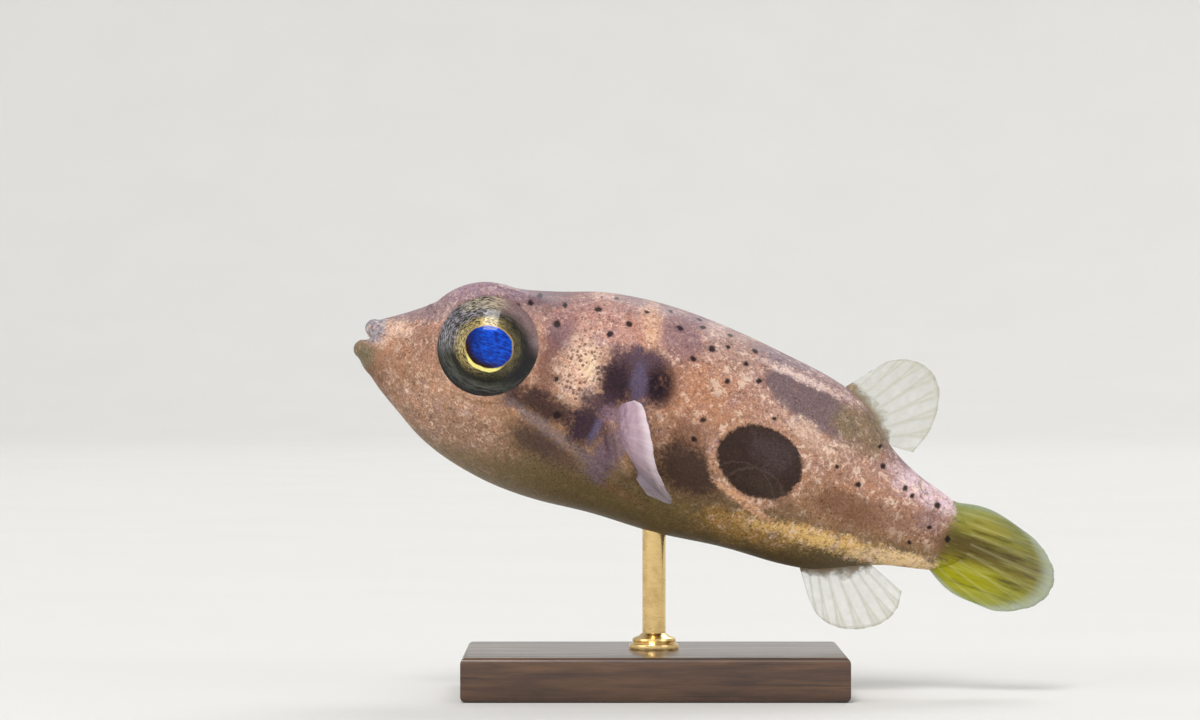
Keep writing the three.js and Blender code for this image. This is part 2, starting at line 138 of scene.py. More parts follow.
# The pectoral fins' points lie on the flank, and their edge stands out from it by the third number.
PECTORAL = {
    "root": ((9.15, 0.8), (9.55, -0.3), (10.3, -1.3)),
    "edge": (
        (9.5, 1.05, 0.55), (9.8, 0.98, 1.25), (10.1, 0.55, 1.85), (10.5, -0.1, 2.15),
        (10.85, -0.75, 2.1), (11.4, -1.35, 1.75), (11.8, -1.8, 1.25), (10.95, -1.8, 0.6),
    ),
    "bow": 0.2,
    "sunk": 1.6,
    "rays": 10,
    "wave": 0.04,
}

BASE = {"length": 13, "width": 9, "height": 1.5, "corner": 1.6, "edge": 0.2}
ROD = {"radius": 0.4, "head": 6.403}
FERRULE = {"radius": 0.85, "foot": 1.52, "head": 2.07}
# The ferrule's outline: how far it draws in from its radius, and how far above its foot.
COLLAR = (
    (0.02, -0.05), (0, 0), (0, 0.14), (0.02, 0.18), (0.12, 0.2), (0.14, 0.24),
    (0.1, 0.3), (0.12, 0.37), (0.22, 0.42), (0.32, 0.45), (0.38, 0.5),
)

# The camera looks level along +Y, at the middle of its frame of 1200 x 720 points.
FRAME_POINTS = (1200, 720)
LENS = {"focal": 135, "sensor": 36, "distance": 154.11}
FRAME_MIDDLE = (-1.849, 11.411)
# Where the lights point, in metres.
LIT_PLACE = (0, 0, 0.01)


# ---------- Small tools ----------


def clamp(value, low=0.0, high=1.0):
    return max(low, min(high, value))


def lerp(start, end, share):
    return start + (end - start) * share


def eased(value, low, high):
    """0 up to low and 1 from high, with a soft start and end between."""
    share = clamp((value - low) / (high - low))
    return share * share * (3 - 2 * share)


def only(obj):
    bpy.ops.object.select_all(action="DESELECT")
    obj.select_set(True)
    bpy.context.view_layer.objects.active = obj
    return obj


def added(add, **settings):
    """A new primitive, with its place, turn and size in its mesh."""
    bpy.ops.object.select_all(action="DESELECT")
    add(**settings)
    obj = bpy.context.object
    bpy.ops.object.transform_apply(location=True, rotation=True, scale=True)
    return obj


def editing(obj):
    """Opens a piece for editing, with all of it selected."""
    only(obj)
    bpy.ops.object.mode_set(mode="EDIT")
    bpy.ops.mesh.select_all(action="SELECT")


def done_editing():
    bpy.ops.object.mode_set(mode="OBJECT")


def chosen(obj, parts, passes):
    """Selects the edges or the faces that pass a test, in a piece open for editing."""
    mesh = bmesh.from_edit_mesh(obj.data)
    for part in getattr(mesh, parts):
        part.select_set(passes(part))
    bmesh.update_edit_mesh(obj.data)


def ball(place, half_size, segments, rings, turn=(0, 0, 0), radius=1):
    """A ball, stretched to its half sizes and then turned."""
    return added(
        bpy.ops.mesh.primitive_uv_sphere_add,
        segments=segments,
        ring_count=rings,
        radius=radius,
        location=place,
        rotation=turn,
        scale=half_size,
    )


def outward(obj):
    editing(obj)
    bpy.ops.mesh.remove_doubles(threshold=1e-5)
    bpy.ops.mesh.normals_make_consistent(inside=False)
    done_editing()
    return obj


def modified(obj, kind, **settings):
    """Adds a modifier and applies it."""
    only(obj)
    modifier = obj.modifiers.new(kind.title(), kind)
    for key, value in settings.items():
        setattr(modifier, key, value)
    bpy.ops.object.modifier_apply(modifier=modifier.name)
    return obj


def joined(objects):
    only(objects[0])
    for obj in objects:
        obj.select_set(True)
    bpy.ops.object.join()
    return objects[0]


def sculpted(obj, move):
    """Moves every vertex to where move says."""
    for vertex in obj.data.vertices:
        vertex.co = move(vertex.co.copy())
    return obj


def remeshed(obj, size):
    return modified(obj, "REMESH", mode="VOXEL", voxel_size=size, use_smooth_shade=True)


def welded(obj, size, rounds):
    """Makes one even skin of all that a piece is made of, and smooths it."""
    return modified(remeshed(obj, size), "SMOOTH", factor=0.5, iterations=rounds)


def smooth_shaded(obj, angle=None):
    only(obj)
    if angle is None:
        bpy.ops.object.shade_smooth()
    else:
        bpy.ops.object.shade_smooth_by_angle(angle=math.radians(angle))
    return obj


def turned(profile, sides):
    """A round piece on the vertical axis, extruded ring by ring along its profile of (radius, height)."""
    obj = added(
        bpy.ops.mesh.primitive_circle_add,
        vertices=sides,
        radius=profile[0][0],
        fill_type="NGON",
        location=(0, 0, profile[0][1]),
    )
    editing(obj)
    for (radius, height), (next_radius, next_height) in zip(profile, profile[1:]):
        bpy.ops.mesh.extrude_region_move(TRANSFORM_OT_translate={"value": (0, 0, next_height - height)})
        grow = next_radius / radius
        bpy.ops.transform.resize(value=(grow, grow, 1), center_override=(0, 0, 0))
    done_editing()
    return outward(obj)


def path_tube(points, radii):
    """A closed tube along a soft curve through five guide points, with a radius at each."""
    obj = added(bpy.ops.curve.primitive_nurbs_path_add)
    for guide, point, radius in zip(obj.data.splines[0].points, points, radii):
        guide.co = (*point, 1)
        guide.radius = radius
    obj.data.bevel_depth = 1
    obj.data.bevel_resolution = 5
    obj.data.resolution_u = 16
    obj.data.use_fill_caps = True
    bpy.ops.object.convert(target="MESH")
    return outward(bpy.context.object)


def fish_piece(obj, name, angle=None):
    """Names a piece of the level fish, swings it with the tail and lifts it, pitched, onto the stand."""

    def swing(place):
        share = max(0, place.x - SWING["start"]) / (SWING["tip"] - SWING["start"])
        place.y += LEFT * SWING["reach"] * share**2
        return place

    sculpted(obj, swing)
    obj.data.transform(ON_STAND)
    obj.name = name
    return smooth_shaded(obj, angle)


def stand_piece(obj, name, angle):
    """Names a piece of the stand and brings it to metres."""
    obj.data.transform(Matrix.Scale(MM, 4))
    obj.name = name
    return smooth_shaded(obj, angle)


def on_both_sides(make):
    return [make(side) for side in SIDES.values()]


# ---------- The body's form ----------


def at(measure, x):
    """One measure of SECTIONS at x, on a smooth cubic through the sections."""
    last = len(SECTIONS) - 1
    i = 0
    while i < last - 1 and SECTIONS[i + 1]["x"] <= x:
        i += 1

    def slope(k):
        before = SECTIONS[max(k - 1, 0)]
        after = SECTIONS[min(k + 1, last)]
        return (after[measure] - before[measure]) / (after["x"] - before["x"])

    span = SECTIONS[i + 1]["x"] - SECTIONS[i]["x"]
    t = clamp((x - SECTIONS[i]["x"]) / span)
    start_share = (1 + 2 * t) * (1 - t) ** 2
    bend = slope(i) * t * (1 - t) ** 2 - slope(i + 1) * t**2 * (1 - t)
    return start_share * SECTIONS[i][measure] + (1 - start_share) * SECTIONS[i + 1][measure] + span * bend


def body_point(x, angle, share=1.0):
    """The point at x and at this angle up from the left flank; share is 1 on the surface."""
    power = 2 / at("square", x)
    across = math.copysign(abs(math.cos(angle)) ** power, math.cos(angle))
    up = math.copysign(abs(math.sin(angle)) ** power, math.sin(angle))
    widest = at("widest", x)
    height = at("top", x) - widest if up > 0 else widest - at("bottom", x)
    return Vector((x, LEFT * share * across * at("half_width", x), widest + share * up * height))


def flank(x, z):
    """How far the flank stands out from the middle plane."""
    widest = at("widest", x)
    height = at("top", x) - widest if z > widest else widest - at("bottom", x)
    square = at("square", x)
    return at("half_width", x) * (1 - clamp(abs(z - widest) / height) ** square) ** (1 / square)


def on_flank(x, z, side, proud=0.0):
    return Vector((x, side * (flank(x, z) + proud), z))


def eye_axis(side):
    turn = math.radians(EYE["turn"])
    lift = math.radians(EYE["lift"])
    return Vector((-math.sin(turn) * math.cos(lift), side * math.cos(turn) * math.cos(lift), math.sin(lift)))


def eye_centre(side):
    return Vector((EYE["x"], side * EYE["out"], EYE["z"]))


def eye_turn(side):
    """The turn that brings a piece's +Z to where the eye looks."""
    return eye_axis(side).to_track_quat("Z", "Y").to_euler()


def around_eye(place):
    """Draws the skin in or out to the rim of the eye, so that the eye shows and no wall stands round it."""
    side = LEFT if place.y < 0 else RIGHT
    axis = eye_axis(side)
    offset = place - eye_centre(side)
    depth = offset.dot(axis)
    away = (offset - depth * axis).length
    rim = EYE_RIM["depth"]
    allowed = rim + SOCKET["rise"] * eased(away, *SOCKET["slope"])
    if depth > allowed:
        return place - (depth - allowed) * axis
    share = (1 - eased(away, *SOCKET["shelf"])) * eased(depth, *SOCKET["floor"])
    return place + share * max(0, rim - depth) * axis


# ---------- The skin ----------

BODY_RINGS = 90
BODY_SIDES = 64
# Each weld of the skin: the size of its cells, and how many rounds of smoothing follow.
FLESH_WELD = (0.09, 40)
DETAIL_WELD = (0.06, 7)
LAST_WELD = (0.056, 2)
CUTTER_CELL = 0.04
SKIN_TRIANGLES = 190000
FIRST_X = SECTIONS[0]["x"]
LAST_X = SECTIONS[-1]["x"]


def level_body():
    """A disc at the snout, extruded ring by ring to the tail fin, then fitted to the sections."""
    drum = added(
        bpy.ops.mesh.primitive_circle_add,
        vertices=BODY_SIDES,
        radius=1,
        fill_type="NGON",
        location=(FIRST_X, 0, 0),
        rotation=(0, math.pi / 2, 0),
    )
    editing(drum)
    step = (LAST_X - FIRST_X) / BODY_RINGS
    for _ in range(BODY_RINGS):
        bpy.ops.mesh.extrude_region_move(TRANSFORM_OT_translate={"value": (step, 0, 0)})
    done_editing()
    sculpted(drum, lambda v: body_point(v.x, math.atan2(v.z, LEFT * v.y), math.hypot(v.y, v.z)))
    return outward(drum)


def orbit(side):
    """The swelling of the head round one eye."""
    return ball((ORBIT["x"], side * ORBIT["out"], ORBIT["z"]), ORBIT["half_size"], 48, 24)


def pectoral_pad(side):
    """The fleshy pad that carries a pectoral fin."""
    place = on_flank(PAD["x"], PAD["z"], side, -PAD["sunk"])
    return ball(place, PAD["half_size"], 32, 24, (0, -math.radians(PAD["lean"]), 0))


def eye_rim(side):
    """The soft roll of skin round one eye."""
    return added(
        bpy.ops.mesh.primitive_torus_add,
        major_segments=64,
        minor_segments=12,
        major_radius=EYE_RIM["radius"],
        minor_radius=EYE_RIM["roll"],
        location=eye_centre(side) + EYE_RIM["depth"] * eye_axis(side),
        rotation=eye_turn(side),
    )


def lip(guides):
    """A soft roll from one corner of the mouth to the other."""
    half = [Vector((x, y, z)) for x, y, z, _ in guides]
    radii = [radius for *_, radius in guides]
    mirrored = [Vector((v.x, -v.y, v.z)) for v in half]
    return path_tube(half + mirrored[1::-1], radii + radii[1::-1])


def chin():
    """The fullness under the lower lip."""
    return ball(CHIN["place"], CHIN["half_size"], 32, 16, (0, math.radians(CHIN["lean"]), 0))


def nostril_place(side):
    angle = math.radians(NOSTRIL["angle"])
    foot = body_point(NOSTRIL["x"], angle if side == LEFT else math.pi - angle)
    outwards = Vector((-NOSTRIL["forward"], side * math.cos(angle), math.sin(angle))).normalized()
    return foot, outwards


def nostril(side):
    """The low tube of one nostril."""
    foot, outwards = nostril_place(side)
    return added(
        bpy.ops.mesh.primitive_cone_add,
        vertices=24,
        radius1=NOSTRIL["foot"],
        radius2=NOSTRIL["tip"],
        depth=2 * NOSTRIL["height"],
        location=foot,
        rotation=outwards.to_track_quat("Z", "Y").to_euler(),
    )


def gill_line(side, proud):
    return [on_flank(x, z, side, proud) for x, z in GILL_LINE]


def gill_cover(side):
    """The raised edge of the gill cover, ahead of its slit."""
    line = gill_line(side, GILL_COVER["proud"])
    return path_tube([place + Vector(GILL_COVER["ahead"]) for place in line], GILL_COVER["radii"])


def gill_slit(side):
    return path_tube(gill_line(side, GILL_SLIT["proud"]), GILL_SLIT["radii"])


def nostril_pit(side):
    foot, outwards = nostril_place(side)
    place = foot + outwards * (NOSTRIL["height"] + 0.01)
    return ball(place, (1, 1, 1), 16, 12, radius=NOSTRIL["pit"])


def mouth_opening():
    """The slit between the lips and the hollow behind it that holds the beak."""
    slit = ball((MOUTH_SLIT["x"], 0, MOUTH_Z), MOUTH_SLIT["half_size"], 32, 16)
    roomy = [half + BEAK_HOLLOW["room"] for half in BEAK["half_size"]]
    return [slit, ball((BEAK_HOLLOW["x"], 0, MOUTH_Z), roomy, 24, 16)]


def fish_skin():
    """The whole skin in one piece: body, brows, lips, nostrils, gill covers and the pads of the fins."""
    flesh = joined([level_body()] + on_both_sides(orbit))
    sculpted(flesh, around_eye)
    flesh = joined([flesh] + on_both_sides(pectoral_pad))
    welded(flesh, *FLESH_WELD)
    details = [lip(UPPER_LIP), lip(LOWER_LIP), chin()]
    for side in SIDES.values():
        details += [eye_rim(side), nostril(side), gill_cover(side)]
    flesh = joined([flesh] + details)
    welded(flesh, *DETAIL_WELD)
    cutters = mouth_opening()
    for side in SIDES.values():
        cutters += [nostril_pit(side), gill_slit(side)]
    cutter = joined(cutters)
    remeshed(cutter, CUTTER_CELL)
    modified(flesh, "BOOLEAN", operation="DIFFERENCE", object=cutter, solver="MANIFOLD")
    bpy.data.objects.remove(cutter)
    welded(flesh, *LAST_WELD)
    triangles = len(flesh.data.polygons) * 2
    modified(flesh, "DECIMATE", ratio=min(1, SKIN_TRIANGLES / triangles))
    note_height(flesh)
    return fish_piece(flesh, "fish_skin")


def note_height(flesh):
    """Stores how high each point lies between belly (-1) and back (1), for the skin's colours."""
    height = flesh.data.attributes.new("height", "FLOAT", "POINT")
    values = []
    for vertex in flesh.data.vertices:
        x = clamp(vertex.co.x, FIRST_X, LAST_X)
        top = at("top", x)
        bottom = at("bottom", x)
        values.append(2 * (vertex.co.z - bottom) / (top - bottom) - 1)
    height.data.foreach_set("value", values)


# ---------- Fins ----------

RAY_COLUMNS = 18
FIN_ROWS = 36
RAY_THICKNESS = 0.065
WEB_THICKNESS = 0.03
ROOT_THICKNESS = 0.32
ROOT_SHARE = 0.28
ROOT_ENDS = (-0.03, 0.09)
RAY_WIDTHS = (0.13, 0.07)
# How far a ray forks, and over what stretch of its length.
FORK = (0.15, 0.4, 0.95)
TWIG = (0.07, 0.7, 1.0)
# How much thinner a ray is at the edge, and how far the membrane draws in there between the rays.
RAY_TAPER = 0.6
SCALLOP = 0.008
FIN_BURIED = 0.2


def ray_share(across, along, rays):
    """1 on the middle of a ray and 0 on the membrane; a ray forks part-way out, and again near the edge."""
    place = across * (rays - 1)
    nearest = round(place)
    first = FORK[0] * eased(along, *FORK[1:])
    second = TWIG[0] * eased(along, *TWIG[1:])
    width = lerp(*RAY_WIDTHS, clamp(along))
    best = 0.0
    for ray in (nearest - 1, nearest, nearest + 1):
        if not 0 <= ray <= rays - 1:
            continue
        for fork in (-first, first):
            for twig in (-second, second):
                off = abs(place - (ray + fork + twig)) / width
                best = max(best, math.exp(-off * off))
    return best


def fin(name, point, shape):
    """A fin of webbed, forking rays; point(across, along) is on its middle surface, from root to edge.

    It is as thick as flesh at the root and thins out over the root's share of its length."""
    rays = shape["rays"]
    columns = RAY_COLUMNS * (rays - 1)
    sheet = added(bpy.ops.mesh.primitive_grid_add, x_subdivisions=columns, y_subdivisions=FIN_ROWS, size=1)
    traits = {"ray": [], "along": [], "across": []}
    thickness = []
    for vertex in sheet.data.vertices:
        across = clamp(vertex.co.x + 0.5)
        along = lerp(-FIN_BURIED, 1, vertex.co.y + 0.5)
        ray = ray_share(across, along, rays)
        scallop = 1 - SCALLOP * (1 - ray) * eased(along, *TWIG[1:])
        place = point(across, along * scallop)
        place.y += shape["wave"] * math.sin(across * 9 + along * 2) * eased(along, 0.1, 1)
        vertex.co = place
        traits["ray"].append(ray)
        traits["along"].append(along)
        traits["across"].append(across)
        web = WEB_THICKNESS + (RAY_THICKNESS - WEB_THICKNESS) * ray * (1 - RAY_TAPER * clamp(along))
        root = ROOT_THICKNESS * (1 - eased(along, -0.1, shape.get("root_share", ROOT_SHARE)))
        thickness.append(max(web, root * eased(min(across, 1 - across), *ROOT_ENDS)))
    for trait, values in traits.items():
        sheet.data.attributes.new(trait, "FLOAT", "POINT").data.foreach_set("value", values)
    group = sheet.vertex_groups.new(name="thickness")
    for index, value in enumerate(thickness):
        group.add([index], clamp(value / ROOT_THICKNESS), "REPLACE")
    modified(
        sheet,
        "SOLIDIFY",
        thickness=ROOT_THICKNESS,
        offset=0,
        vertex_group="thickness",
        thickness_vertex_group=0.0,
        use_even_offset=False,
    )
    return fish_piece(outward(sheet), name)


def median_point(across, along, shape):
    """In a fin of the middle plane, whose rays run from a straight root to the edge; outer rays may bow."""
    (from_x, from_z), (to_x, to_z) = shape["root"]
    root = Vector((lerp(from_x, to_x, across), 0, lerp(from_z, to_z, across)))
    edge = along_curve([Vector((x, 0, z)) for x, z in shape["edge"]], across)
    place = root.lerp(edge, along)
    place.z += shape.get("belly", 0) * (2 * across - 1) ** 3 * math.sin(math.pi * clamp(along))
    return place


def median_fin(name, shape):
    return fin(name, lambda across, along: median_point(across, along, shape), shape)


def along_curve(guides, share):
    """A point on the smooth curve through evenly timed guide points."""
    place = clamp(share) * (len(guides) - 1)
    i = min(int(place), len(guides) - 2)
    t = place - i
    before = guides[i - 1] if i > 0 else 2 * guides[0] - guides[1]
    after = guides[i + 2] if i + 2 < len(guides) else 2 * guides[-1] - guides[-2]
    start, end = guides[i], guides[i + 1]
    return 0.5 * (
        2 * start
        + (end - before) * t
        + (2 * before - 5 * start + 4 * end - after) * t**2
        + (3 * start - before - 3 * end + after) * t**3
    )


PECTORAL_ROOT = [on_flank(x, z, 1) for x, z in PECTORAL["root"]]
PECTORAL_EDGE = [on_flank(x, z, 1, reach) for x, z, reach in PECTORAL["edge"]]


def pectoral_point(across, along, side):
    """In a pectoral fin, held out from the flank, top ray to bottom ray."""
    root = along_curve(PECTORAL_ROOT, across)
    place = root.lerp(along_curve(PECTORAL_EDGE, across), max(along, 0))
    place.x -= 4 * PECTORAL["bow"] * max(along, 0) * (1 - along) * math.sin(math.pi * clamp(across))
    place.y += PECTORAL["sunk"] * min(along, 0)
    place.y *= side
    return place


def pectoral_fin(name, side):
    return fin(name, lambda across, along: pectoral_point(across, along, side), PECTORAL)


# ---------- Eyes and beak ----------


def eyeball(name, side):
    half_size = (EYE["radius"], EYE["radius"], EYE["half_depth"])
    return fish_piece(outward(ball(eye_centre(side), half_size, 96, 64, eye_turn(side))), name)


def beak(name, up):
    """Half of the beak: two teeth fused into a rounded plate, with a seam down the middle."""
    plate = ball((BEAK["x"], 0, MOUTH_Z), BEAK["half_size"], 64, 32)
    cut = MOUTH_Z + up * BEAK["gap"] / 2
    editing(plate)
    bpy.ops.mesh.bisect(
        plane_co=(0, 0, cut),
        plane_no=(0, 0, 1),
        use_fill=True,
        clear_inner=up > 0,
        clear_outer=up < 0,
    )
    done_editing()

    def seam(v):
        v.x += BEAK["seam"] * math.exp(-((v.y / BEAK["seam"]) ** 2))
        return v

    sculpted(plate, seam)
    outward(plate)
    modified(plate, "BEVEL", width=BEAK["bevel"], segments=3, limit_method="ANGLE")
    return fish_piece(plate, name, 50)


# ---------- Stand ----------


def stand_base():
    """A wooden block with rounded corners and softened edges."""
    height = BASE["height"]
    block = added(
        bpy.ops.mesh.primitive_cube_add,
        size=1,
        location=(0, 0, height / 2),
        scale=(BASE["length"], BASE["width"], height),
    )
    editing(block)
    chosen(block, "edges", lambda edge: abs(edge.verts[0].co.z - edge.verts[1].co.z) > height / 2)
    bpy.ops.mesh.bevel(offset=BASE["corner"], segments=16)
    chosen(block, "faces", lambda face: abs(face.normal.z) > 0.9)
    bpy.ops.mesh.region_to_loop()
    bpy.ops.mesh.bevel(offset=BASE["edge"], segments=5)
    done_editing()
    return stand_piece(outward(block), "wooden_base", 30)


def stand_post():
    """The turned brass post: a collar with a bead at the foot, and a plain bar up into the belly."""
    bar = ROD["radius"]
    shoulder = FERRULE["head"]
    head = ROD["head"]
    profile = [(FERRULE["radius"] - inwards, FERRULE["foot"] + up) for inwards, up in COLLAR]
    profile += [(bar + 0.03, shoulder - 0.02), (bar, shoulder), (bar, shoulder + 0.4)]
    profile += [(bar, head - 0.06), (bar - 0.06, head)]
    return stand_piece(turned(profile, 64), "brass_post", 35)


# ---------- Material tools ----------


class Recipe:
    """The node tree of a material or of a shared effect, to which nodes are added one by one."""

    def __init__(self, tree, made=None):
        self.tree = tree
        self.made = made
        self.end = {}

    def plug(self, socket, value):
        if isinstance(value, bpy.types.NodeSocket):
            self.tree.links.new(value, socket)
        else:
            socket.default_value = value

    def node(self, kind, inputs=None, **settings):
        node = self.tree.nodes.new(kind)
        for key, value in settings.items():
            setattr(node, key, value)
        for key, value in (inputs or {}).items():
            self.plug(node.inputs[key], value)
        return node

    def maths(self, operation, *values):
        return self.node("ShaderNodeMath", dict(enumerate(values)), operation=operation).outputs[0]

    def times(self, first, second):
        return self.maths("MULTIPLY", first, second)

    def plus(self, first, second):
        return self.maths("ADD", first, second)

    def minus(self, first, second):
        return self.maths("SUBTRACT", first, second)

    def vector(self, operation, *values):
        node = self.node("ShaderNodeVectorMath", dict(enumerate(values)), operation=operation)
        gives_value = operation in ("LENGTH", "DISTANCE", "DOT_PRODUCT")
        return node.outputs["Value" if gives_value else "Vector"]

    def straight(self, value, low, high, start=0.0, end=1.0, course="LINEAR"):
        """From start, up to low, to end, from high on."""
        sockets = {"Value": value, "From Min": low, "From Max": high, "To Min": start, "To Max": end}
        return self.node("ShaderNodeMapRange", sockets, interpolation_type=course).outputs["Result"]

    def eased(self, value, low, high, start=0.0, end=1.0):
        return self.straight(value, low, high, start, end, "SMOOTHSTEP")

    def spread(self, noise, start, end):
        """A noise keeps near its middle; this stretches it over start to end."""
        return self.straight(noise, 0.3, 0.7, start, end)

    def noise(self, place, scale, detail=2.0, roughness=0.5, output="Fac", twist=0.0):
        sockets = {"Scale": scale, "Detail": detail, "Roughness": roughness, "Distortion": twist}
        return self.node("ShaderNodeTexNoise", {"Vector": place, **sockets}).outputs[output]

    def scatter(self, place, scale, detail, roughness=0.5):
        """An uneven offset about 0 in every direction."""
        noise = self.noise(place, scale, detail, roughness, "Color")
        return self.vector("SUBTRACT", noise, (0.5, 0.5, 0.5))

    def cells(self, place, scale):
        return self.node("ShaderNodeTexVoronoi", {"Vector": place, "Scale": scale}).outputs

    def paint(self, below, colour, share, blend="MIX"):
        """Lays a colour over another."""
        node = self.node("ShaderNodeMix", data_type="RGBA", blend_type=blend)
        under, over = [socket for socket in node.inputs if socket.type == "RGBA"]
        self.plug(node.inputs[0], share)
        self.plug(under, (*below, 1) if isinstance(below, tuple) else below)
        self.plug(over, (*colour, 1) if isinstance(colour, tuple) else colour)
        return [socket for socket in node.outputs if socket.type == "RGBA"][0]

    def ramp(self, value, stops):
        """A colour that changes with value; stops are (place, colour)."""
        node = self.node("ShaderNodeValToRGB", {"Fac": value})
        elements = node.color_ramp.elements
        while len(elements) < len(stops):
            elements.new(0.5)
        for element, (place, colour) in zip(elements, stops):
            element.position = place
            element.color = (*colour, 1)
        return node.outputs["Color"]

    def split(self, vector):
        return self.node("ShaderNodeSeparateXYZ", {"Vector": vector}).outputs

    def group(self, name, inputs):
        """One use of a shared effect."""
        return self.node("ShaderNodeGroup", inputs, node_tree=bpy.data.node_groups[name]).outputs

    def trait(self, name):
        """A value that was stored at each point of the mesh."""
        return self.node("ShaderNodeAttribute", attribute_name=name).outputs["Fac"]

    def object_place(self):
        return self.node("ShaderNodeTexCoord").outputs["Object"]

    def level_fish(self):
        return self.group("LevelFish", {"Vector": self.object_place()})

    def bumped(self, height, strength, distance):
        sockets = {"Height": height, "Strength": strength, "Distance": distance}
        return self.node("ShaderNodeBump", sockets).outputs["Normal"]

    def result(self, **values):
        """Plugs in what a shared effect gives, or what a material's shader varies by."""
        for name, value in values.items():
            self.plug(self.end[name], value)

    def shaded(self, colour, roughness, **values):
        """Finishes the material."""
        self.result(**{"Base Color": colour, "Roughness": roughness, **values})
        return self.made


FLOAT = "NodeSocketFloat"
VECTOR = "NodeSocketVector"
COLOUR = "NodeSocketColor"
FLAT = (1, 0, 1)
# How far a patch's soft edge reaches, and how much the Fray breaks it up, for a softness of 1.
FRINGE = 0.75
FRAYING = 0.55


def effect(name, inputs, outputs):
    """The recipe of a new shared effect with these inputs and outputs, and its inputs' sockets."""
    tree = bpy.data.node_groups.new(name, "ShaderNodeTree")
    for direction, sockets in (("INPUT", inputs), ("OUTPUT", outputs)):
        for socket, kind in sockets.items():
            tree.interface.new_socket(socket, in_out=direction, socket_type=kind)
    recipe = Recipe(tree)
    start = recipe.node("NodeGroupInput").outputs
    recipe.end = recipe.node("NodeGroupOutput").inputs
    return recipe, start


def material(name, constants):
    """The recipe of a new material with one Principled shader and its constants."""
    made = bpy.data.materials.new(name)
    made.use_nodes = True
    made.node_tree.nodes.clear()
    recipe = Recipe(made.node_tree, made)
    shader = recipe.node("ShaderNodeBsdfPrincipled", constants)
    recipe.node("ShaderNodeOutputMaterial", {"Surface": shader.outputs["BSDF"]})
    recipe.end = shader.inputs
    return recipe


def level_effect():
    """Brings a place on the posed fish back to the level fish, in millimetres.

    Place is exact. Marks is the same place a little jittered, shifted on the right flank so that the two
    flanks are alike but not the same, and flat in y. Fray is an uneven value about 0 for soft edges."""
    r, start = effect("LevelFish", {"Vector": VECTOR}, {"Place": VECTOR, "Marks": VECTOR, "Fray": FLOAT})
    sockets = {
        "Vector": start["Vector"],
        "Location": MOUTH_PLACE * MM,
        "Rotation": (0, PITCH, 0),
        "Scale": (MM, MM, MM),
    }
    place = r.node("ShaderNodeMapping", sockets, vector_type="TEXTURE").outputs["Vector"]
    wander = r.vector("MULTIPLY", r.scatter(place, 0.33, 1), (4.2, 0, 3.2))
    shifted = r.node("ShaderNodeVectorMath", {0: wander}, operation="SCALE")
    r.plug(shifted.inputs["Scale"], r.eased(r.split(place)["Y"], -0.6, 1.6))
    marks = r.vector("MULTIPLY_ADD", r.scatter(place, 6, 2), (0.14, 0, 0.14), place)
    marks = r.vector("ADD", marks, shifted.outputs["Vector"])
    fine = r.spread(r.noise(place, 8.5, 3, 0.65, twist=0.5), -0.75, 0.75)
    broad = r.spread(r.noise(place, 1.9, 3, 0.55), -0.65, 0.65)
    r.result(Place=place, Marks=r.vector("MULTIPLY", marks, FLAT), Fray=r.plus(fine, broad))


def airbrush_effect():
    """A soft-edged oval patch at a centre; Along and Across are its axes, each divided by its half size.

    Fray breaks its edge into flecks; the edge fades from Inner to Outer."""
    inputs = {"Marks": VECTOR, "Centre": VECTOR, "Along": VECTOR, "Across": VECTOR}
    inputs.update({"Fray": FLOAT, "Inner": FLOAT, "Outer": FLOAT, "Strength": FLOAT})
    r, start = effect("Airbrush", inputs, {"Mask": FLOAT})
    place = r.vector("SUBTRACT", start["Marks"], start["Centre"])
    along = r.vector("DOT_PRODUCT", place, start["Along"])
    across = r.vector("DOT_PRODUCT", place, start["Across"])
    squared = r.maths("MULTIPLY_ADD", across, across, r.times(along, along))
    away = r.plus(r.maths("SQRT", squared), start["Fray"])
    r.result(Mask=r.eased(away, start["Outer"], start["Inner"], 0, start["Strength"]))


def airbrushed(r, marks, fray, centre, half_size, lean, softness, strength):
    """One patch; fray is what frays its edge, for this softness."""
    lean = math.radians(lean)
    sockets = {
        "Marks": marks,
        "Fray": fray,
        "Centre": (centre[0], 0, centre[1]),
        "Along": Vector((math.cos(lean), 0, -math.sin(lean))) / half_size[0],
        "Across": Vector((math.sin(lean), 0, math.cos(lean))) / half_size[1],
        "Inner": 1 - FRINGE * softness,
        "Outer": 1 + FRINGE * softness,
        "Strength": strength,
    }
    return r.group("Airbrush", sockets)["Mask"]


def dots_effect(name, dots):
    """1 inside any of a list of small dots, given as (x, y, z, radius) in millimetres."""
    r, start = effect(name, {"Marks": VECTOR}, {"Mask": FLOAT})
    nearest = 9.0
    for x, y, z, radius in dots:
        away = r.vector("DISTANCE", start["Marks"], (x, y, z))
        nearest = r.maths("MINIMUM", r.maths("DIVIDE", away, radius), nearest)
    r.result(Mask=r.eased(nearest, 1.45, 0.55))


def speckle_effect():
    """Fine dark specks: one in each cell, larger where Density is high."""
    r, start = effect("Speckle", {"Place": VECTOR, "Scale": FLOAT, "Density": FLOAT}, {"Mask": FLOAT})
    cells = r.cells(start["Place"], start["Scale"])
    luck = r.split(cells["Color"])["X"]
    size = r.times(r.maths("MULTIPLY_ADD", luck, 0.5, 0.5), start["Density"])
    r.result(Mask=r.eased(r.minus(size, cells["Distance"]), -0.06, 0.08))


# ---------- Markings ----------


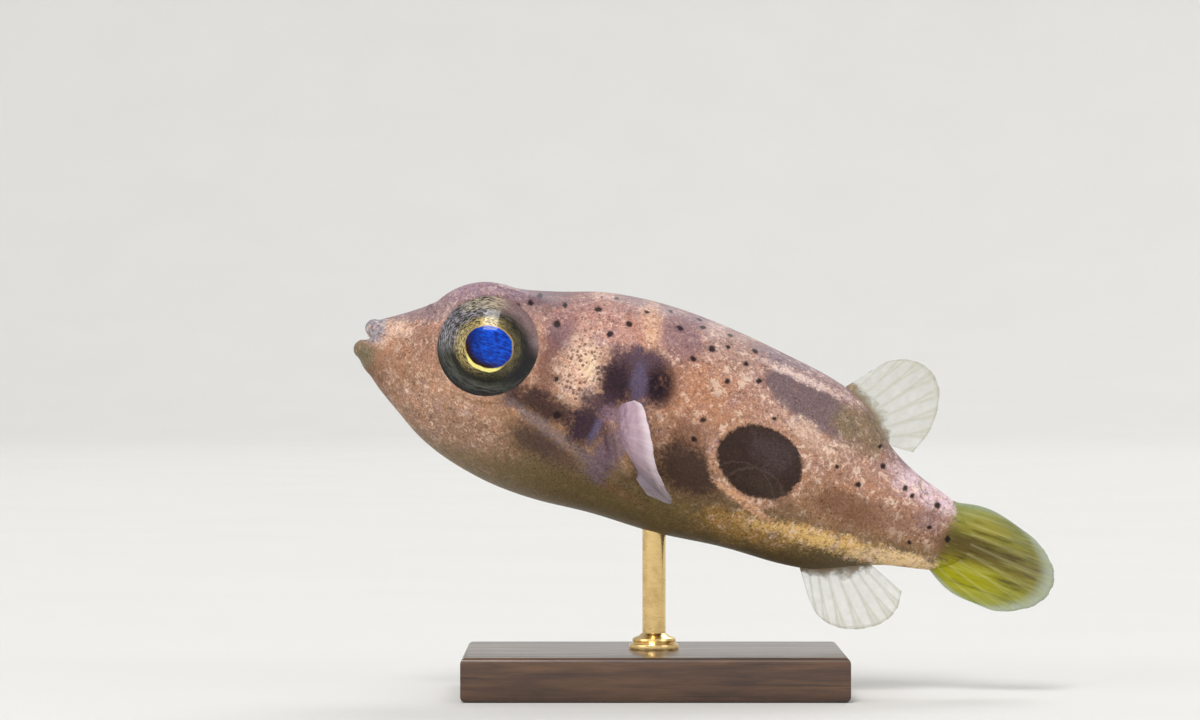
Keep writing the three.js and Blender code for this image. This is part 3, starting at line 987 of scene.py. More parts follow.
def seen_at(u, v):
    """The level (x, z) of what the camera sees on the left flank at a point of its frame."""
    scale = LENS["sensor"] / FRAME_POINTS[0] / LENS["focal"]
    across = (u - FRAME_POINTS[0] / 2) * scale
    down = (v - FRAME_POINTS[1] / 2) * scale
    x, z = 0.0, 0.0
    out = 2.5
    for _ in range(4):
        depth = LENS["distance"] - out
        world_x = FRAME_MIDDLE[0] + across * depth - MOUTH_PLACE.x
        world_z = FRAME_MIDDLE[1] - down * depth - MOUTH_PLACE.z
        x = world_x * math.cos(PITCH) - world_z * math.sin(PITCH)
        z = world_x * math.sin(PITCH) + world_z * math.cos(PITCH)
        out = flank(clamp(x, FIRST_X, LAST_X), z)
    return x, z


# Washes of colour, laid one over another like an airbrush: middle as a point of the camera's frame, half
# length and half height in millimetres, lean in degrees below the fish's level, softness, strength, colour.
WASHES = {
    "chin": ((385, 380), (1.6, 0.95), 30, 0.8, 0.85, (0.2, 0.1, 0.055)),
    "snout": ((405, 350), (1.6, 1.0), 0, 0.7, 0.6, (0.37, 0.2, 0.125)),
    "snout_top": ((420, 312), (1.7, 0.42), -30, 0.6, 0.75, (0.24, 0.17, 0.19)),
    "snout_patch": ((425, 342), (0.6, 0.5), 0, 0.9, 0.6, (0.24, 0.13, 0.1)),
    "lip_cream": ((394, 328), (0.6, 0.26), -20, 0.8, 0.85, (0.72, 0.48, 0.36)),
    "mouth_corner": ((380, 338), (0.4, 0.28), 0, 0.8, 0.8, (0.52, 0.34, 0.27)),
    # Painted highlight: a pale bluish shine on the upper lip.
    "upper_lip_highlight": ((372, 327), (0.5, 0.5), 0, 0.4, 0.85, (0.26, 0.26, 0.31)),
    "lower_lip": ((360, 357), (0.5, 0.5), 0, 0.5, 0.8, (0.17, 0.15, 0.09)),
    "cheek": ((445, 415), (2.2, 1.1), 15, 0.7, 0.75, (0.45, 0.26, 0.18)),
    "cheek_low": ((500, 458), (2.4, 0.6), 12, 0.8, 0.35, (0.2, 0.125, 0.07)),
    "throat": ((500, 478), (3.2, 0.5), 5, 0.6, 0.6, (0.2, 0.145, 0.075)),
    "belly_front": ((600, 502), (3.4, 0.55), 0, 0.6, 0.7, (0.15, 0.11, 0.045)),
    "belly_rust": ((625, 495), (1.0, 0.16), 8, 0.9, 0.7, (0.2, 0.09, 0.045)),
    "belly_rear": ((690, 522), (2.6, 0.5), 0, 0.7, 0.65, (0.17, 0.125, 0.05)),
    "brow": ((490, 290), (2.0, 0.42), -19, 0.6, 0.85, (0.31, 0.21, 0.26)),
    "nape": ((575, 300), (1.9, 0.42), -17, 0.8, 0.85, (0.13, 0.08, 0.1)),
    "nape_gap": ((604, 296), (0.4, 0.3), 0, 0.9, 0.8, (0.5, 0.33, 0.28)),
    "temple": ((552, 365), (0.55, 1.2), 0, 0.7, 0.75, (0.15, 0.065, 0.05)),
    "temple_dark": ((563, 328), (0.5, 0.8), 0, 0.7, 0.75, (0.13, 0.062, 0.09)),
    "cheek_spangle": ((582, 368), (0.75, 1.35), -5, 0.6, 0.8, (0.68, 0.45, 0.34)),
    "shoulder_pink": ((615, 325), (1.8, 0.8), 0, 0.7, 0.75, (0.52, 0.27, 0.225)),
    "shoulder_gold": ((652, 328), (0.35, 0.9), -19, 0.7, 0.65, (0.72, 0.42, 0.26)),
    # Painted highlight: a bright cream-yellow spot beside the left edge of the shoulder blotch.
    "bright_highlight": ((590, 366), (0.3, 0.5), -15, 0.8, 0.6, (0.85, 0.64, 0.42)),
    "under_eye": ((545, 407), (1.75, 0.45), 4, 0.8, 0.9, (0.026, 0.012, 0.014)),
    "cheek_grey": ((534, 439), (0.88, 0.5), 5, 0.75, 0.8, (0.045, 0.028, 0.028)),
    "cheek_grey_low": ((558, 457), (0.7, 0.32), 20, 0.9, 0.65, (0.08, 0.046, 0.04)),
    "cheek_line": ((556, 435), (1.8, 0.18), 16, 1.0, 0.6, (0.22, 0.165, 0.17)),
    "gill_dark": ((586, 425), (0.62, 0.8), -10, 0.6, 0.92, (0.03, 0.016, 0.03)),
    "gill_sheen": ((596, 430), (0.14, 0.6), 12, 1.0, 0.7, (0.12, 0.1, 0.18)),
    "gill_blue": ((600, 464), (0.5, 0.6), 20, 0.8, 0.75, (0.13, 0.1, 0.135)),
    "shoulder": ((640, 377), (1.3, 0.98), -8, 0.4, 0.94, (0.05, 0.026, 0.038)),
    "shoulder_top": ((640, 356), (0.7, 0.3), 0, 0.9, 0.6, (0.1, 0.06, 0.085)),
    "shoulder_front": ((615, 386), (0.5, 0.7), -10, 0.6, 0.95, (0.024, 0.011, 0.019)),
    "shoulder_rear": ((663, 386), (0.55, 0.62), -10, 0.5, 0.98, (0.013, 0.006, 0.013)),
    "shoulder_smear": ((639, 386), (0.24, 0.85), -19, 0.9, 0.85, (0.105, 0.08, 0.14)),
    "back_blotch": ((690, 338), (0.95, 0.82), -10, 0.35, 0.75, (0.23, 0.125, 0.145)),
    "back_pale": ((716, 330), (0.35, 0.4), 30, 0.9, 0.6, (0.62, 0.47, 0.47)),
    "flank_orange": ((705, 390), (1.1, 1.0), 0, 0.8, 0.7, (0.45, 0.205, 0.11)),
    "flank_tan": ((738, 352), (1.2, 0.8), 0, 0.8, 0.55, (0.45, 0.28, 0.22)),
    "fin_rust": ((688, 436), (0.6, 0.5), 10, 0.9, 0.7, (0.17, 0.075, 0.045)),
    "fin_shade": ((690, 470), (1.25, 0.78), 10, 0.55, 0.92, (0.045, 0.026, 0.02)),
    "dorsal_blotch": ((812, 405), (1.95, 0.7), 16, 0.22, 0.92, (0.155, 0.108, 0.12)),
    "dorsal_rear": ((862, 432), (1.1, 0.72), 20, 0.45, 0.9, (0.215, 0.155, 0.09)),
    "back_band": ((780, 357), (1.1, 0.2), 4, 0.8, 0.75, (0.22, 0.155, 0.19)),
    # Painted highlight: a pale line where the light catches the upper flank, above the dorsal blotch.
    "back_highlight": ((808, 381), (1.5, 0.13), 4, 0.9, 0.9, (0.72, 0.54, 0.5)),
    "fin_base_rim": ((868, 403), (0.6, 0.1), 22, 0.9, 0.7, (0.5, 0.45, 0.22)),
    "flank_pale": ((812, 437), (1.2, 0.32), 14, 0.9, 0.8, (0.68, 0.47, 0.36)),
    "flank_rear": ((845, 460), (1.3, 0.6), 0, 0.8, 0.6, (0.38, 0.22, 0.16)),
    "brown_patch": ((850, 508), (1.4, 0.5), 0, 0.8, 0.8, (0.18, 0.085, 0.045)),
    "golden_front": ((745, 528), (1.7, 0.46), -4, 0.8, 0.75, (0.45, 0.26, 0.07)),
    "golden_line": ((828, 541), (2.5, 0.3), -5, 0.8, 0.92, (0.85, 0.55, 0.2)),
    "stalk_pale": ((897, 560), (1.5, 0.3), -8, 0.8, 0.9, (0.95, 0.68, 0.36)),
    "stalk_brown": ((900, 520), (0.9, 0.45), 0, 0.8, 0.7, (0.26, 0.14, 0.095)),
    # Painted highlight: lilac-white light along the top of the tail stalk.
    "stalk_highlight": ((928, 492), (1.4, 0.42), 10, 0.7, 0.88, (0.8, 0.61, 0.68)),
    "stalk_shade": ((932, 520), (0.5, 0.4), 0, 0.9, 0.7, (0.22, 0.14, 0.15)),
    "tail_blotch": ((952, 543), (0.55, 0.45), 0, 0.8, 0.7, (0.09, 0.05, 0.022)),
    "ocellus_ring": ((756, 465), (1.7, 1.4), 8, 0.1, 0.88, (0.46, 0.25, 0.155)),
    "ring_low": ((745, 503), (1.15, 0.15), 17, 0.4, 0.9, (0.68, 0.38, 0.22)),
    "ocellus": ((760, 462), (1.5, 1.2), 8, 0.07, 0.98, (0.03, 0.017, 0.014)),
    "ocellus_light": ((772, 452), (0.8, 0.5), 20, 0.9, 0.7, (0.07, 0.05, 0.052)),
    "ocellus_low": ((768, 490), (0.8, 0.3), 14, 0.9, 0.6, (0.055, 0.037, 0.027)),
    "pad": ((617, 442), (0.5, 1.2), 24, 0.6, 0.85, (0.17, 0.11, 0.14)),
    "shoulder_link": ((603, 405), (0.8, 0.36), 10, 0.7, 0.85, (0.055, 0.03, 0.045)),
    "fin_base": ((614, 417), (0.4, 0.3), 0, 0.8, 0.8, (0.24, 0.15, 0.19)),
}

DARK_DOTS = (
    ((518, 306), 3), ((540, 296), 3), ((531, 303), 3), ((565, 305), 3), ((598, 309), 4),
    ((602, 297), 2), ((617, 298), 3), ((629, 324), 4), ((610, 334), 3.5), ((647, 312), 3),
    ((671, 311), 3), ((680, 328), 4), ((699, 319), 3.5), ((703, 327), 3.5), ((712, 349), 4.5),
    ((693, 359), 3.5), ((730, 335), 3.5), ((728, 347), 3), ((755, 351), 3.5), ((746, 364), 3.5),
    ((727, 382), 3.5), ((759, 381), 3.5), ((703, 420), 3.5), ((694, 439), 3), ((774, 419), 2.5),
    ((557, 324), 4), ((556, 379), 3), ((557, 415), 4.5), ((837, 467), 2.5), ((858, 485), 3.5),
    ((883, 466), 3.5), ((880, 446), 2.5), ((905, 488), 3.5), ((912, 496), 3), ((937, 505), 4),
    ((929, 527), 3), ((947, 539), 3.5), ((909, 542), 2.5),
)
DOT_SIZE = 0.86
# Dots high on the body between these two x count as the back's, and lie at this share of the flank's y.
BACK_DOTS = (7.2, 16)
BACK_DOT_Y = 0.75
POINT_MM = LENS["sensor"] / FRAME_POINTS[0] / LENS["focal"] * LENS["distance"]


def dark_dots():
    """The dots of the flanks, which are flat in y, and those of the back, which go by their y as well."""
    side_dots = []
    back_dots = []
    for middle, size in DARK_DOTS:
        x, z = seen_at(*middle)
        radius = DOT_SIZE * size * POINT_MM
        widest = at("widest", x)
        if BACK_DOTS[0] < x < BACK_DOTS[1] and z > lerp(widest, at("top", x), 0.7):
            back_dots.append((x, BACK_DOT_Y * flank(x, z), z, radius))
        else:
            side_dots.append((x, 0, z, radius))
    return side_dots, back_dots


SKIN_GLOSS = {"Coat Weight": 0.04, "Coat Roughness": 0.22, "Specular IOR Level": 0.1}
FIN_GLOSS = {"Coat Weight": 0.15, "Coat Roughness": 0.2, "Specular IOR Level": 0.3}


def skin_material():
    flesh = {"Subsurface Weight": 0.06, "Subsurface Radius": (1.0, 0.5, 0.3), "Subsurface Scale": 0.0004}
    r = material("PufferSkin", {**SKIN_GLOSS, **flesh})
    fish = r.level_fish()
    place = fish["Place"]
    colour, masks = washed(r, ground_colour(r, place), fish)
    grainy = r.noise(place, 16, 3, 0.7)
    colour = mottled(r, colour, place, grainy)
    colour = speckled(r, colour, place, masks)
    to_fin = r.eased(r.maths("MULTIPLY_ADD", fish["Fray"], 0.25, r.split(place)["X"]), 20.85, 21.35)
    colour = r.paint(colour, r.group("TailColours", {"Place": place})["Colour"], to_fin)
    colour = dotted(r, colour, place, fish["Marks"])
    relief = r.maths("MULTIPLY_ADD", r.cells(place, 9)["Distance"], 0.5, r.noise(place, 3, 4, 0.6))
    return r.shaded(colour, r.spread(grainy, 0.38, 0.56), Normal=r.bumped(relief, 0.5, 0.00004))


def ground_colour(r, place):
    """From the belly (-1) up to the back (1)."""
    drift = r.straight(r.noise(place, 1.1, 4, 0.6), 0, 1, -0.15, 0.15)
    stops = (
        (0.0, (0.13, 0.095, 0.045)),
        (0.14, (0.14, 0.1, 0.045)),
        (0.34, (0.3, 0.165, 0.09)),
        (0.6, (0.43, 0.225, 0.145)),
        (0.84, (0.42, 0.24, 0.2)),
        (1.0, (0.28, 0.195, 0.215)),
    )
    return r.ramp(r.straight(r.plus(r.trait("height"), drift), -1, 1), stops)


def washed(r, colour, fish):
    """All the washes, with two fine lines in the flank's dark spot, and each wash's mask."""
    masks = {}
    softnesses = sorted({softness for _, _, _, softness, _, _ in WASHES.values()})
    frays = {softness: r.times(fish["Fray"], FRAYING * softness) for softness in softnesses}
    for name, (middle, half_size, lean, softness, strength, wash) in WASHES.items():
        patch = (seen_at(*middle), half_size, lean, softness, strength)
        masks[name] = airbrushed(r, fish["Marks"], frays[softness], *patch)
        colour = r.paint(colour, wash, masks[name])
    lines = r.times(masks["ocellus"], ocellus_lines(r, fish["Marks"]))
    return r.paint(colour, (0.1, 0.07, 0.06), lines), masks


def ocellus_lines(r, marks):
    """Two thin curved lines across the lower part of the flank's dark spot."""
    lines = 0.0
    for middle, radius, width in (((750, 502), 1.16, 0.04), ((736, 499), 1.26, 0.03)):
        x, z = seen_at(*middle)
        off = r.maths("ABSOLUTE", r.minus(r.vector("DISTANCE", marks, (x, 0, z)), radius))
        lines = r.maths("MAXIMUM", r.eased(off, 2.2 * width, 0, 0, 0.4), lines)
    return lines


def mottled(r, colour, place, grainy):
    """Blotches stay plain; the bright flecks belong to the paler skin between them."""
    bright = r.eased(r.node("ShaderNodeRGBToBW", {"Color": colour}).outputs["Val"], 0.08, 0.3)
    warm = r.noise(place, 2.2, 5, 0.65)
    colour = r.paint(colour, (0.52, 0.2, 0.08), r.times(r.eased(warm, 0.52, 0.7, 0, 0.4), bright))
    colour = r.paint(colour, (0.34, 0.23, 0.28), r.times(r.eased(warm, 0.47, 0.3, 0, 0.45), bright))
    mottle = r.eased(r.noise(place, 1.7, 5, 0.7, twist=0.5), 0.53, 0.68, 0, 0.5)
    colour = r.paint(colour, (0.15, 0.08, 0.06), r.times(mottle, bright))
    fleck = r.noise(place, 6.5, 4, 0.7, twist=0.7)
    clustered = r.eased(r.noise(place, 0.8, 2), 0.35, 0.62, 0.35, 1)
    pale = r.times(r.eased(fleck, 0.53, 0.66, 0, 0.75), r.times(bright, clustered))
    colour = r.paint(colour, (0.9, 0.68, 0.55), pale)
    dusky = r.times(r.eased(fleck, 0.48, 0.32, 0, 0.6), r.straight(bright, 0, 1, 0.5, 1))
    colour = r.paint(colour, (0.11, 0.055, 0.045), dusky)
    colour = r.paint(colour, r.spread(grainy, 0.12, 0.88), 0.5, "OVERLAY")
    cream = r.eased(r.noise(place, 2.9, 4, 0.65, twist=0.5), 0.55, 0.65)
    cream = r.times(cream, r.eased(r.split(place)["X"], 8, 14, 0.3, 0.65))
    return r.paint(colour, (0.86, 0.66, 0.53), r.times(cream, bright))


def speckled(r, colour, place, masks):
    """Fine specks all over, and a net of them on the cheek and shoulder."""
    patchy = r.eased(r.noise(place, 0.9, 2), 0.4, 0.66, 0.06, 0.32)
    specks = r.group("Speckle", {"Place": place, "Scale": 6.5, "Density": patchy})["Mask"]
    colour = r.paint(colour, (0.06, 0.03, 0.025), r.times(specks, 0.6))
    spangled = r.maths("MAXIMUM", masks["cheek_spangle"], r.times(masks["shoulder_pink"], 0.5))
    net = r.group("Speckle", {"Place": place, "Scale": 6.4, "Density": 0.42})["Mask"]
    return r.paint(colour, (0.13, 0.06, 0.045), r.times(net, spangled))


def dotted(r, colour, place, marks):
    """The small dark dots."""
    side_dots, back_dots = dark_dots()
    dots_effect("BackDots", back_dots)
    dots_effect("SideDots", side_dots)
    rounded = r.vector("MULTIPLY_ADD", r.vector("ABSOLUTE", place), (0, BACK_DOT_Y, 0), marks)
    back = r.group("BackDots", {"Marks": rounded})["Mask"]
    dark = r.maths("MAXIMUM", back, r.group("SideDots", {"Marks": marks})["Mask"])
    return r.paint(colour, (0.012, 0.006, 0.009), r.times(dark, 0.95))


def eye_material():
    gloss = {"Coat Weight": 0.6, "Coat Roughness": 0.04, "Coat IOR": 1.36, "Specular IOR Level": 0.04}
    r = material("PufferEye", gloss)
    place = r.level_fish()["Place"]
    offset = r.vector("SUBTRACT", place, (PUPIL["x"], 0, PUPIL["z"]))
    centred = r.vector("MULTIPLY", offset, (1, 0, 1.14))
    warped = r.vector("MULTIPLY_ADD", r.scatter(centred, 2.4, 3, 0.6), (0.12, 0, 0.12), centred)
    away = r.vector("LENGTH", warped)
    unit = r.vector("NORMALIZE", centred)

    def towards(angle):
        """1 in this direction from the pupil, -1 opposite; 0 is to the tail and 90 is up."""
        direction = (math.cos(math.radians(angle)), 0, math.sin(math.radians(angle)))
        return r.vector("DOT_PRODUCT", unit, direction)

    def zone(angle, spread, start, full, share):
        """A patch of the iris in one direction, fading in over a stretch of the way out."""
        across = r.eased(towards(angle), 1 - spread, 1 - 0.2 * spread)
        return r.times(across, r.eased(away, start, full, 0, share))

    # Fibres run round the pupil: the noise is stretched along the ring.
    outwards = r.node("ShaderNodeCombineXYZ", {"Y": r.times(away, 7)}).outputs[0]
    ringwise = r.vector("ADD", r.vector("MULTIPLY", unit, (1.6, 0, 1.6)), outwards)
    fibres = r.noise(ringwise, 2.2, 4, 0.65)
    flecks = r.noise(ringwise, 5.5, 3, 0.6)
    fine = r.noise(centred, 15, 4, 0.7)
    stops = (
        (0.0, (0.075, 0.06, 0.028)),
        (0.2, (0.045, 0.04, 0.02)),
        (0.36, (0.02, 0.02, 0.012)),
        (0.55, (0.04, 0.041, 0.03)),
        (0.75, (0.062, 0.064, 0.056)),
        (0.9, (0.026, 0.027, 0.026)),
        (1.0, (0.014, 0.012, 0.012)),
    )
    colour = r.ramp(r.straight(away, 0.8, 1.9), stops)
    colour = r.paint(colour, (0.006, 0.006, 0.004), r.eased(fibres, 0.48, 0.62, 0, 0.85))
    colour = r.paint(colour, (0.13, 0.12, 0.1), r.eased(fibres, 0.45, 0.33, 0, 0.4))
    # Painted shade: the lower part of the iris is darkened almost to black.
    lower = r.times(zone(-102, 0.6, 0.86, 1.08, 0.95), r.eased(away, 1.5, 1.22))
    colour = r.paint(colour, (0.003, 0.003, 0.001), lower)
    crescent = r.times(zone(-2, 0.45, 1.02, 1.2, 0.9), r.eased(away, 1.7, 1.5))
    colour = r.paint(colour, (0.012, 0.011, 0.014), crescent)
    streaks = r.times(r.eased(flecks, 0.42, 0.56), r.eased(away, 1.32, 1.0))
    golden = r.times(streaks, r.eased(towards(172), -0.5, 0.7, 0.12, 0.9))
    colour = r.paint(colour, (0.46, 0.35, 0.14), golden)
    # Silver flecks on the upper left of the iris, partly its own colour and partly a painted highlight where
    # the light falls.
    silver_and_highlight = r.times(zone(152, 0.55, 1.0, 1.3, 0.85), r.eased(flecks, 0.47, 0.6))
    colour = r.paint(colour, (0.36, 0.33, 0.4), silver_and_highlight)
    rosy = r.times(zone(60, 0.45, 1.2, 1.75, 0.65), r.straight(fine, 0.35, 0.6, 0.35, 1))
    colour = r.paint(colour, (0.4, 0.25, 0.25), rosy)
    top_gold = r.times(zone(114, 0.16, 1.3, 1.6, 0.65), r.eased(flecks, 0.42, 0.6))
    colour = r.paint(colour, (0.62, 0.52, 0.34), top_gold)
    edge = PUPIL["radius"]
    thickness = r.eased(towards(-88), 0.6, 1.0, 0.022, 0.12)
    ring = r.eased(r.minus(away, r.plus(edge, thickness)), 0.03, -0.02)
    lit = r.eased(towards(-92), 0.35, 0.85)
    ring = r.times(ring, r.maths("MAXIMUM", lit, r.eased(towards(54), 0.2, 0.9, 0.3, 0.7)))
    ring = r.times(ring, r.straight(fine, 0.3, 0.6, 0.6, 1.1))
    yellow = r.paint((0.5, 0.34, 0.12), (0.86, 0.78, 0.24), lit)
    colour = r.paint(colour, yellow, r.maths("MINIMUM", ring, 1))
    ripple = r.noise(r.vector("MULTIPLY", centred, (1, 1, 3.5)), 3.6, 5, 0.65)
    blue = r.paint((0.0, 0.012, 0.17), (0.003, 0.085, 0.66), r.eased(ripple, 0.36, 0.66))
    deep = r.times(r.eased(towards(205), -0.3, 0.9), r.eased(away, 0.1, 0.7, 0, 0.8))
    blue = r.paint(blue, (0.0, 0.01, 0.11), deep)
    shadow = r.times(r.eased(towards(-116), -0.1, 0.8), r.eased(away, 0.5, 0.74))
    blue = r.paint(blue, (0.014, 0.002, 0.002), shadow)
    colour = r.paint(colour, blue, r.eased(away, edge, edge - 0.04))
    metallic = r.times(r.maths("MAXIMUM", golden, silver_and_highlight), 0.4)
    return r.shaded(colour, r.spread(fine, 0.35, 0.2), Metallic=metallic)


def clear_fin_material():
    """Clear webbing with denser rays, which turns to flesh at the root."""
    r = material("ClearFin", FIN_GLOSS)
    ray, along = r.trait("ray"), r.trait("along")
    cloud = r.noise(r.level_fish()["Place"], 3, 4, 0.6)
    joints = r.eased(r.maths("SINE", r.times(along, 130)), 0.3, 1.0)
    joints = r.times(joints, r.eased(along, 0.25, 0.5, 0, 0.4))
    colour = r.paint((0.4, 0.4, 0.28), (0.52, 0.5, 0.36), ray)
    colour = r.paint(colour, (0.2, 0.16, 0.1), r.times(joints, ray))
    root = r.eased(r.plus(along, r.spread(cloud, -0.08, 0.08)), 0.26, 0.0)
    colour = r.paint(colour, (0.27, 0.19, 0.12), root)
    alpha = r.plus(r.maths("MULTIPLY_ADD", ray, 0.2, 0.13), r.spread(cloud, -0.05, 0.05))
    alpha = r.plus(alpha, r.eased(along, 0.93, 0.99, 0, 0.15))
    return r.shaded(colour, r.spread(cloud, 0.42, 0.3), Alpha=r.maths("MAXIMUM", alpha, root))


def tail_colours():
    """The tail fin's colours at a level place: yellow below, streaked olive in the middle, green above."""
    r, start = effect("TailColours", {"Place": VECTOR}, {"Colour": COLOUR})
    place = start["Place"]
    streak = r.noise(r.vector("MULTIPLY", place, (0.55, 1, 6)), 1.3, 4, 0.65)
    uneven = r.spread(r.noise(place, 1.8, 4, 0.6), -0.06, 0.06)
    height = r.plus(r.straight(r.split(place)["Z"], -1.7, 1.5), uneven)
    stops = (
        (0.0, (0.3, 0.33, 0.07)),
        (0.22, (0.25, 0.25, 0.008)),
        (0.4, (0.19, 0.16, 0.015)),
        (0.58, (0.15, 0.12, 0.03)),
        (0.76, (0.22, 0.21, 0.035)),
        (1.0, (0.26, 0.29, 0.11)),
    )
    colour = r.ramp(height, stops)
    fray = r.spread(streak, -0.5, 0.5)
    flat = r.vector("MULTIPLY", place, FLAT)
    spots = (
        ((22.3, -1.0), (1.15, 0.5), (0.34, 0.32, 0.004)),
        ((22.4, 0.85), (0.9, 0.4), (0.3, 0.26, 0.04)),
        ((21.9, 0.1), (1.3, 0.36), (0.09, 0.06, 0.018)),
    )
    for centre, half_size, spot in spots:
        colour = r.paint(colour, spot, airbrushed(r, flat, fray, centre, half_size, 0, 0.9, 0.75))
    middle = r.eased(r.maths("ABSOLUTE", r.minus(height, 0.5)), 0.42, 0.1, 0.35, 1)
    dark = r.times(r.eased(streak, 0.5, 0.66, 0, 0.85), middle)
    colour = r.paint(colour, (0.06, 0.045, 0.012), dark)
    r.result(Colour=r.paint(colour, (0.42, 0.42, 0.12), r.eased(streak, 0.46, 0.34, 0, 0.35)))


def tail_material():
    r = material("TailFin", SKIN_GLOSS)
    ray, along, across = r.trait("ray"), r.trait("along"), r.trait("across")
    place = r.level_fish()["Place"]
    outer = r.maths("ABSOLUTE", r.straight(across, 0, 1, -1, 1))
    margin = r.maths("MAXIMUM", r.eased(along, 0.82, 0.97), r.eased(outer, 0.88, 1.0))
    colour = r.group("TailColours", {"Place": place})["Colour"]
    colour = r.paint(colour, (0.34, 0.4, 0.28), r.times(margin, 0.8))
    colour = r.paint(colour, (0.5, 0.5, 0.3), r.times(ray, 0.2))
    alpha = r.maths("MULTIPLY_ADD", ray, 0.1, r.eased(along, 0.2, 0.85, 1.0, 0.84))
    alpha = r.minus(alpha, r.times(margin, 0.25))
    return r.shaded(colour, r.spread(r.noise(place, 3, 3), 0.5, 0.36), Alpha=alpha)


def pectoral_material():
    """Flesh-pink near the root and along the upper rays, with painted shade right at the root, clearer
    below, with a bright edge.
    """
    r = material("PectoralFin", FIN_GLOSS)
    ray, along, across = r.trait("ray"), r.trait("along"), r.trait("across")
    cloud = r.noise(r.level_fish()["Place"], 3.5, 4, 0.65)
    colour = r.paint((0.3, 0.2, 0.26), (0.52, 0.37, 0.44), r.eased(cloud, 0.38, 0.62))
    colour = r.paint(colour, (0.55, 0.4, 0.47), r.eased(along, 0.25, 0.6, 0, 0.7))
    colour = r.paint(colour, (0.8, 0.68, 0.73), r.eased(along, 0.75, 0.97, 0, 0.8))
    # Painted shade where the fin meets the body: darker towards the root.
    colour = r.paint(colour, (0.2, 0.13, 0.17), r.eased(along, 0.22, 0.02, 0, 0.8))
    low = r.eased(r.plus(across, r.spread(cloud, -0.08, 0.08)), 0.58, 0.85)
    colour = r.paint(colour, (0.26, 0.22, 0.26), r.times(low, 0.8))
    clear = r.times(r.times(r.eased(along, 0.25, 0.75), low), 0.4)
    alpha = r.minus(r.eased(along, 0.4, 1.0, 1.0, 0.86), clear)
    alpha = r.maths("MULTIPLY_ADD", ray, 0.1, alpha)
    return r.shaded(colour, r.spread(cloud, 0.5, 0.36), Alpha=alpha)


def beak_material():
    r = material("BeakEnamel", {"Coat Weight": 0.4, "Coat Roughness": 0.1})
    cloud = r.noise(r.object_place(), 2500, 3)
    colour = r.paint((0.78, 0.7, 0.55), (0.5, 0.4, 0.28), r.eased(cloud, 0.45, 0.7))
    return r.shaded(colour, r.spread(cloud, 0.25, 0.4))


def wood_material():
    r = material("DarkWood", {"Coat Weight": 0.35, "Coat Roughness": 0.12})
    place = r.vector("MULTIPLY", r.object_place(), (260, 2400, 2400))
    warp = r.noise(place, 0.35, 3, 0.5, "Color")
    rings = r.noise(r.vector("MULTIPLY_ADD", warp, (1.6, 1.6, 1.6), place), 0.9, 6, 0.62)
    pores = r.noise(r.vector("MULTIPLY", place, (0.6, 5, 5)), 1.6, 2, 0.5)
    stops = ((0.3, (0.03, 0.014, 0.008)), (0.5, (0.075, 0.034, 0.017)), (0.68, (0.13, 0.062, 0.03)))
    colour = r.paint(r.ramp(rings, stops), (0.012, 0.006, 0.004), r.eased(pores, 0.6, 0.72, 0, 0.7))
    normal = r.bumped(r.minus(rings, pores), 0.25, 0.00002)
    return r.shaded(colour, r.spread(rings, 0.42, 0.3), Normal=normal)


def brass_material():
    r = material("PolishedBrass", {"Metallic": 1.0})
    place = r.object_place()
    turning = r.noise(r.vector("MULTIPLY", place, (300, 300, 14000)), 1, 3, 0.5)
    tarnish = r.noise(place, 1500, 4, 0.6)
    colour = r.paint((0.78, 0.56, 0.25), (0.48, 0.31, 0.12), r.eased(tarnish, 0.45, 0.75, 0, 0.6))
    rough = r.straight(r.plus(turning, tarnish), 0.7, 1.3, 0.18, 0.34)
    return r.shaded(colour, rough, Normal=r.bumped(turning, 0.08, 0.00001))


# ---------- Studio ----------


def studio():
    """A pale floor that curves up into a round wall, so that it has no visible edge from any side."""
    flat, bend, top = 0.5, 0.25, 0.7
    profile = [(0.002, 0), (0.05, 0), (flat, 0)]
    for step in range(1, 13):
        angle = step / 12 * math.pi / 2
        profile.append((flat + bend * math.sin(angle), bend * (1 - math.cos(angle))))
    profile.append((flat + bend, top))
    floor = turned(profile, 96)
    editing(floor)
    chosen(floor, "faces", lambda face: abs(face.normal.z) > 0.9 and face.calc_center_median().z > bend)
    bpy.ops.mesh.delete(type="FACE")
    bpy.ops.mesh.select_all(action="SELECT")
    bpy.ops.mesh.flip_normals()
    done_editing()
    floor.name = "studio_floor"
    r = material("PaleFloor", {"Specular IOR Level": 0.2})
    colour = r.paint((0.76, 0.755, 0.74), (0.72, 0.715, 0.7), r.noise(r.object_place(), 60, 4))
    floor.data.materials.append(r.shaded(colour, 0.75))
    smooth_shaded(floor)


def placed(name, data, place):
    obj = bpy.data.objects.new(name, data)
    bpy.context.scene.collection.objects.link(obj)
    obj.location = place
    return obj


def area_light(name, place, size, power, colour=(1, 1, 1)):
    lamp = bpy.data.lights.new(name, "AREA")
    lamp.shape = "RECTANGLE"
    lamp.size, lamp.size_y = size
    lamp.energy = power
    lamp.color = colour
    aim = Vector(LIT_PLACE) - Vector(place)
    placed(name, lamp, place).rotation_euler = aim.to_track_quat("-Z", "Y").to_euler()


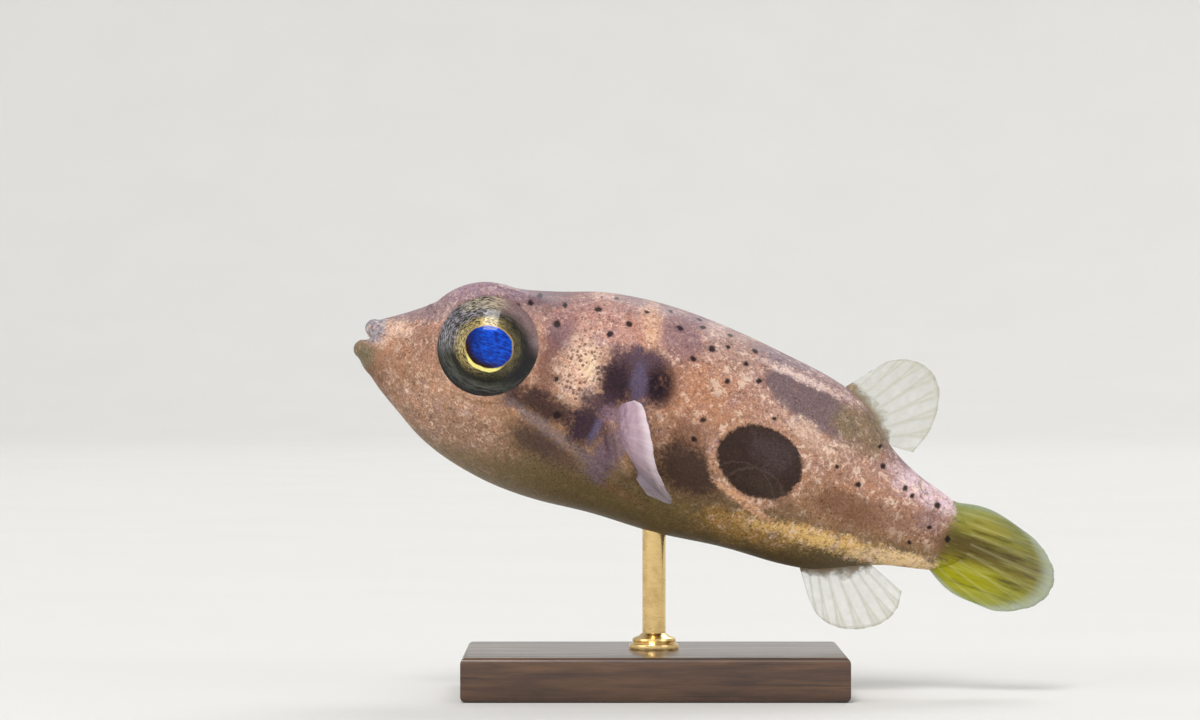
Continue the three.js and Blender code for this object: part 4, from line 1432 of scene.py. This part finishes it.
def camera():
    data = bpy.data.cameras.new("camera")
    data.lens = LENS["focal"]
    data.sensor_width = LENS["sensor"]
    data.clip_start = 0.001
    data.clip_end = 10
    obj = placed("camera", data, (FRAME_MIDDLE[0] * MM, -LENS["distance"] * MM, FRAME_MIDDLE[1] * MM))
    obj.rotation_euler = (math.pi / 2, 0, 0)
    bpy.context.scene.camera = obj


def lights():
    area_light("overhead", (-0.13, -0.49, 0.62), (0.18, 0.36), 3.4, (1, 0.985, 0.96))
    area_light("left", (-0.6, -0.35, 0.25), (0.45, 0.45), 1.1, (1, 0.99, 0.97))
    area_light("right", (0.6, -0.45, 0.2), (0.4, 0.4), 1.0, (0.96, 0.98, 1))
    area_light("back", (0.15, 0.45, 0.5), (0.35, 0.35), 1.5)
    world = bpy.data.worlds.new("world")
    bpy.context.scene.world = world
    world.use_nodes = True
    sky = world.node_tree.nodes["Background"]
    sky.inputs["Color"].default_value = (0.95, 0.97, 1, 1)
    sky.inputs["Strength"].default_value = 0.42
    bpy.context.scene.view_settings.view_transform = "Standard"


# ---------- Assembly ----------


def finished(obj, look, slot, *nodes):
    """Gives a piece its material, attaches it to the root body and hides the CAD nodes it stands in for; the
    slot is not used.
    """
    obj.data.materials.clear()
    obj.data.materials.append(look)
    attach(obj, "root")
    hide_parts(*nodes)


camera()
for shared_effect in (level_effect, airbrush_effect, speckle_effect, tail_colours):
    shared_effect()

skin = fish_skin()
finished(skin, skin_material(), "skin", "head", "trunk", "belly", "tail_stalk", "lip_upper", "lip_lower")

eye_look = eye_material()
clear_fin = clear_fin_material()
lobe_fin = pectoral_material()
for side_name, side in SIDES.items():
    finished(eyeball(f"eyeball_{side_name}", side), eye_look, "eye", f"eye_{side_name}")
    pectoral = pectoral_fin(f"pectoral_{side_name}", side)
    finished(pectoral, lobe_fin, "fin", f"pectoral_fin_{side_name}")

finished(median_fin("dorsal", DORSAL), clear_fin, "fin", "dorsal_fin")
finished(median_fin("anal", ANAL), clear_fin, "fin", "anal_fin")
finished(median_fin("caudal", CAUDAL), tail_material(), "tail_fin", "tail_fin")

enamel = beak_material()
finished(beak("upper_teeth", 1), enamel, "beak", "beak_upper")
finished(beak("lower_teeth", -1), enamel, "beak", "beak_lower")

finished(stand_base(), wood_material(), "stand_wood", "stand_base")
finished(stand_post(), brass_material(), "stand_brass", "stand_ferrule", "stand_rod")

studio()
lights()
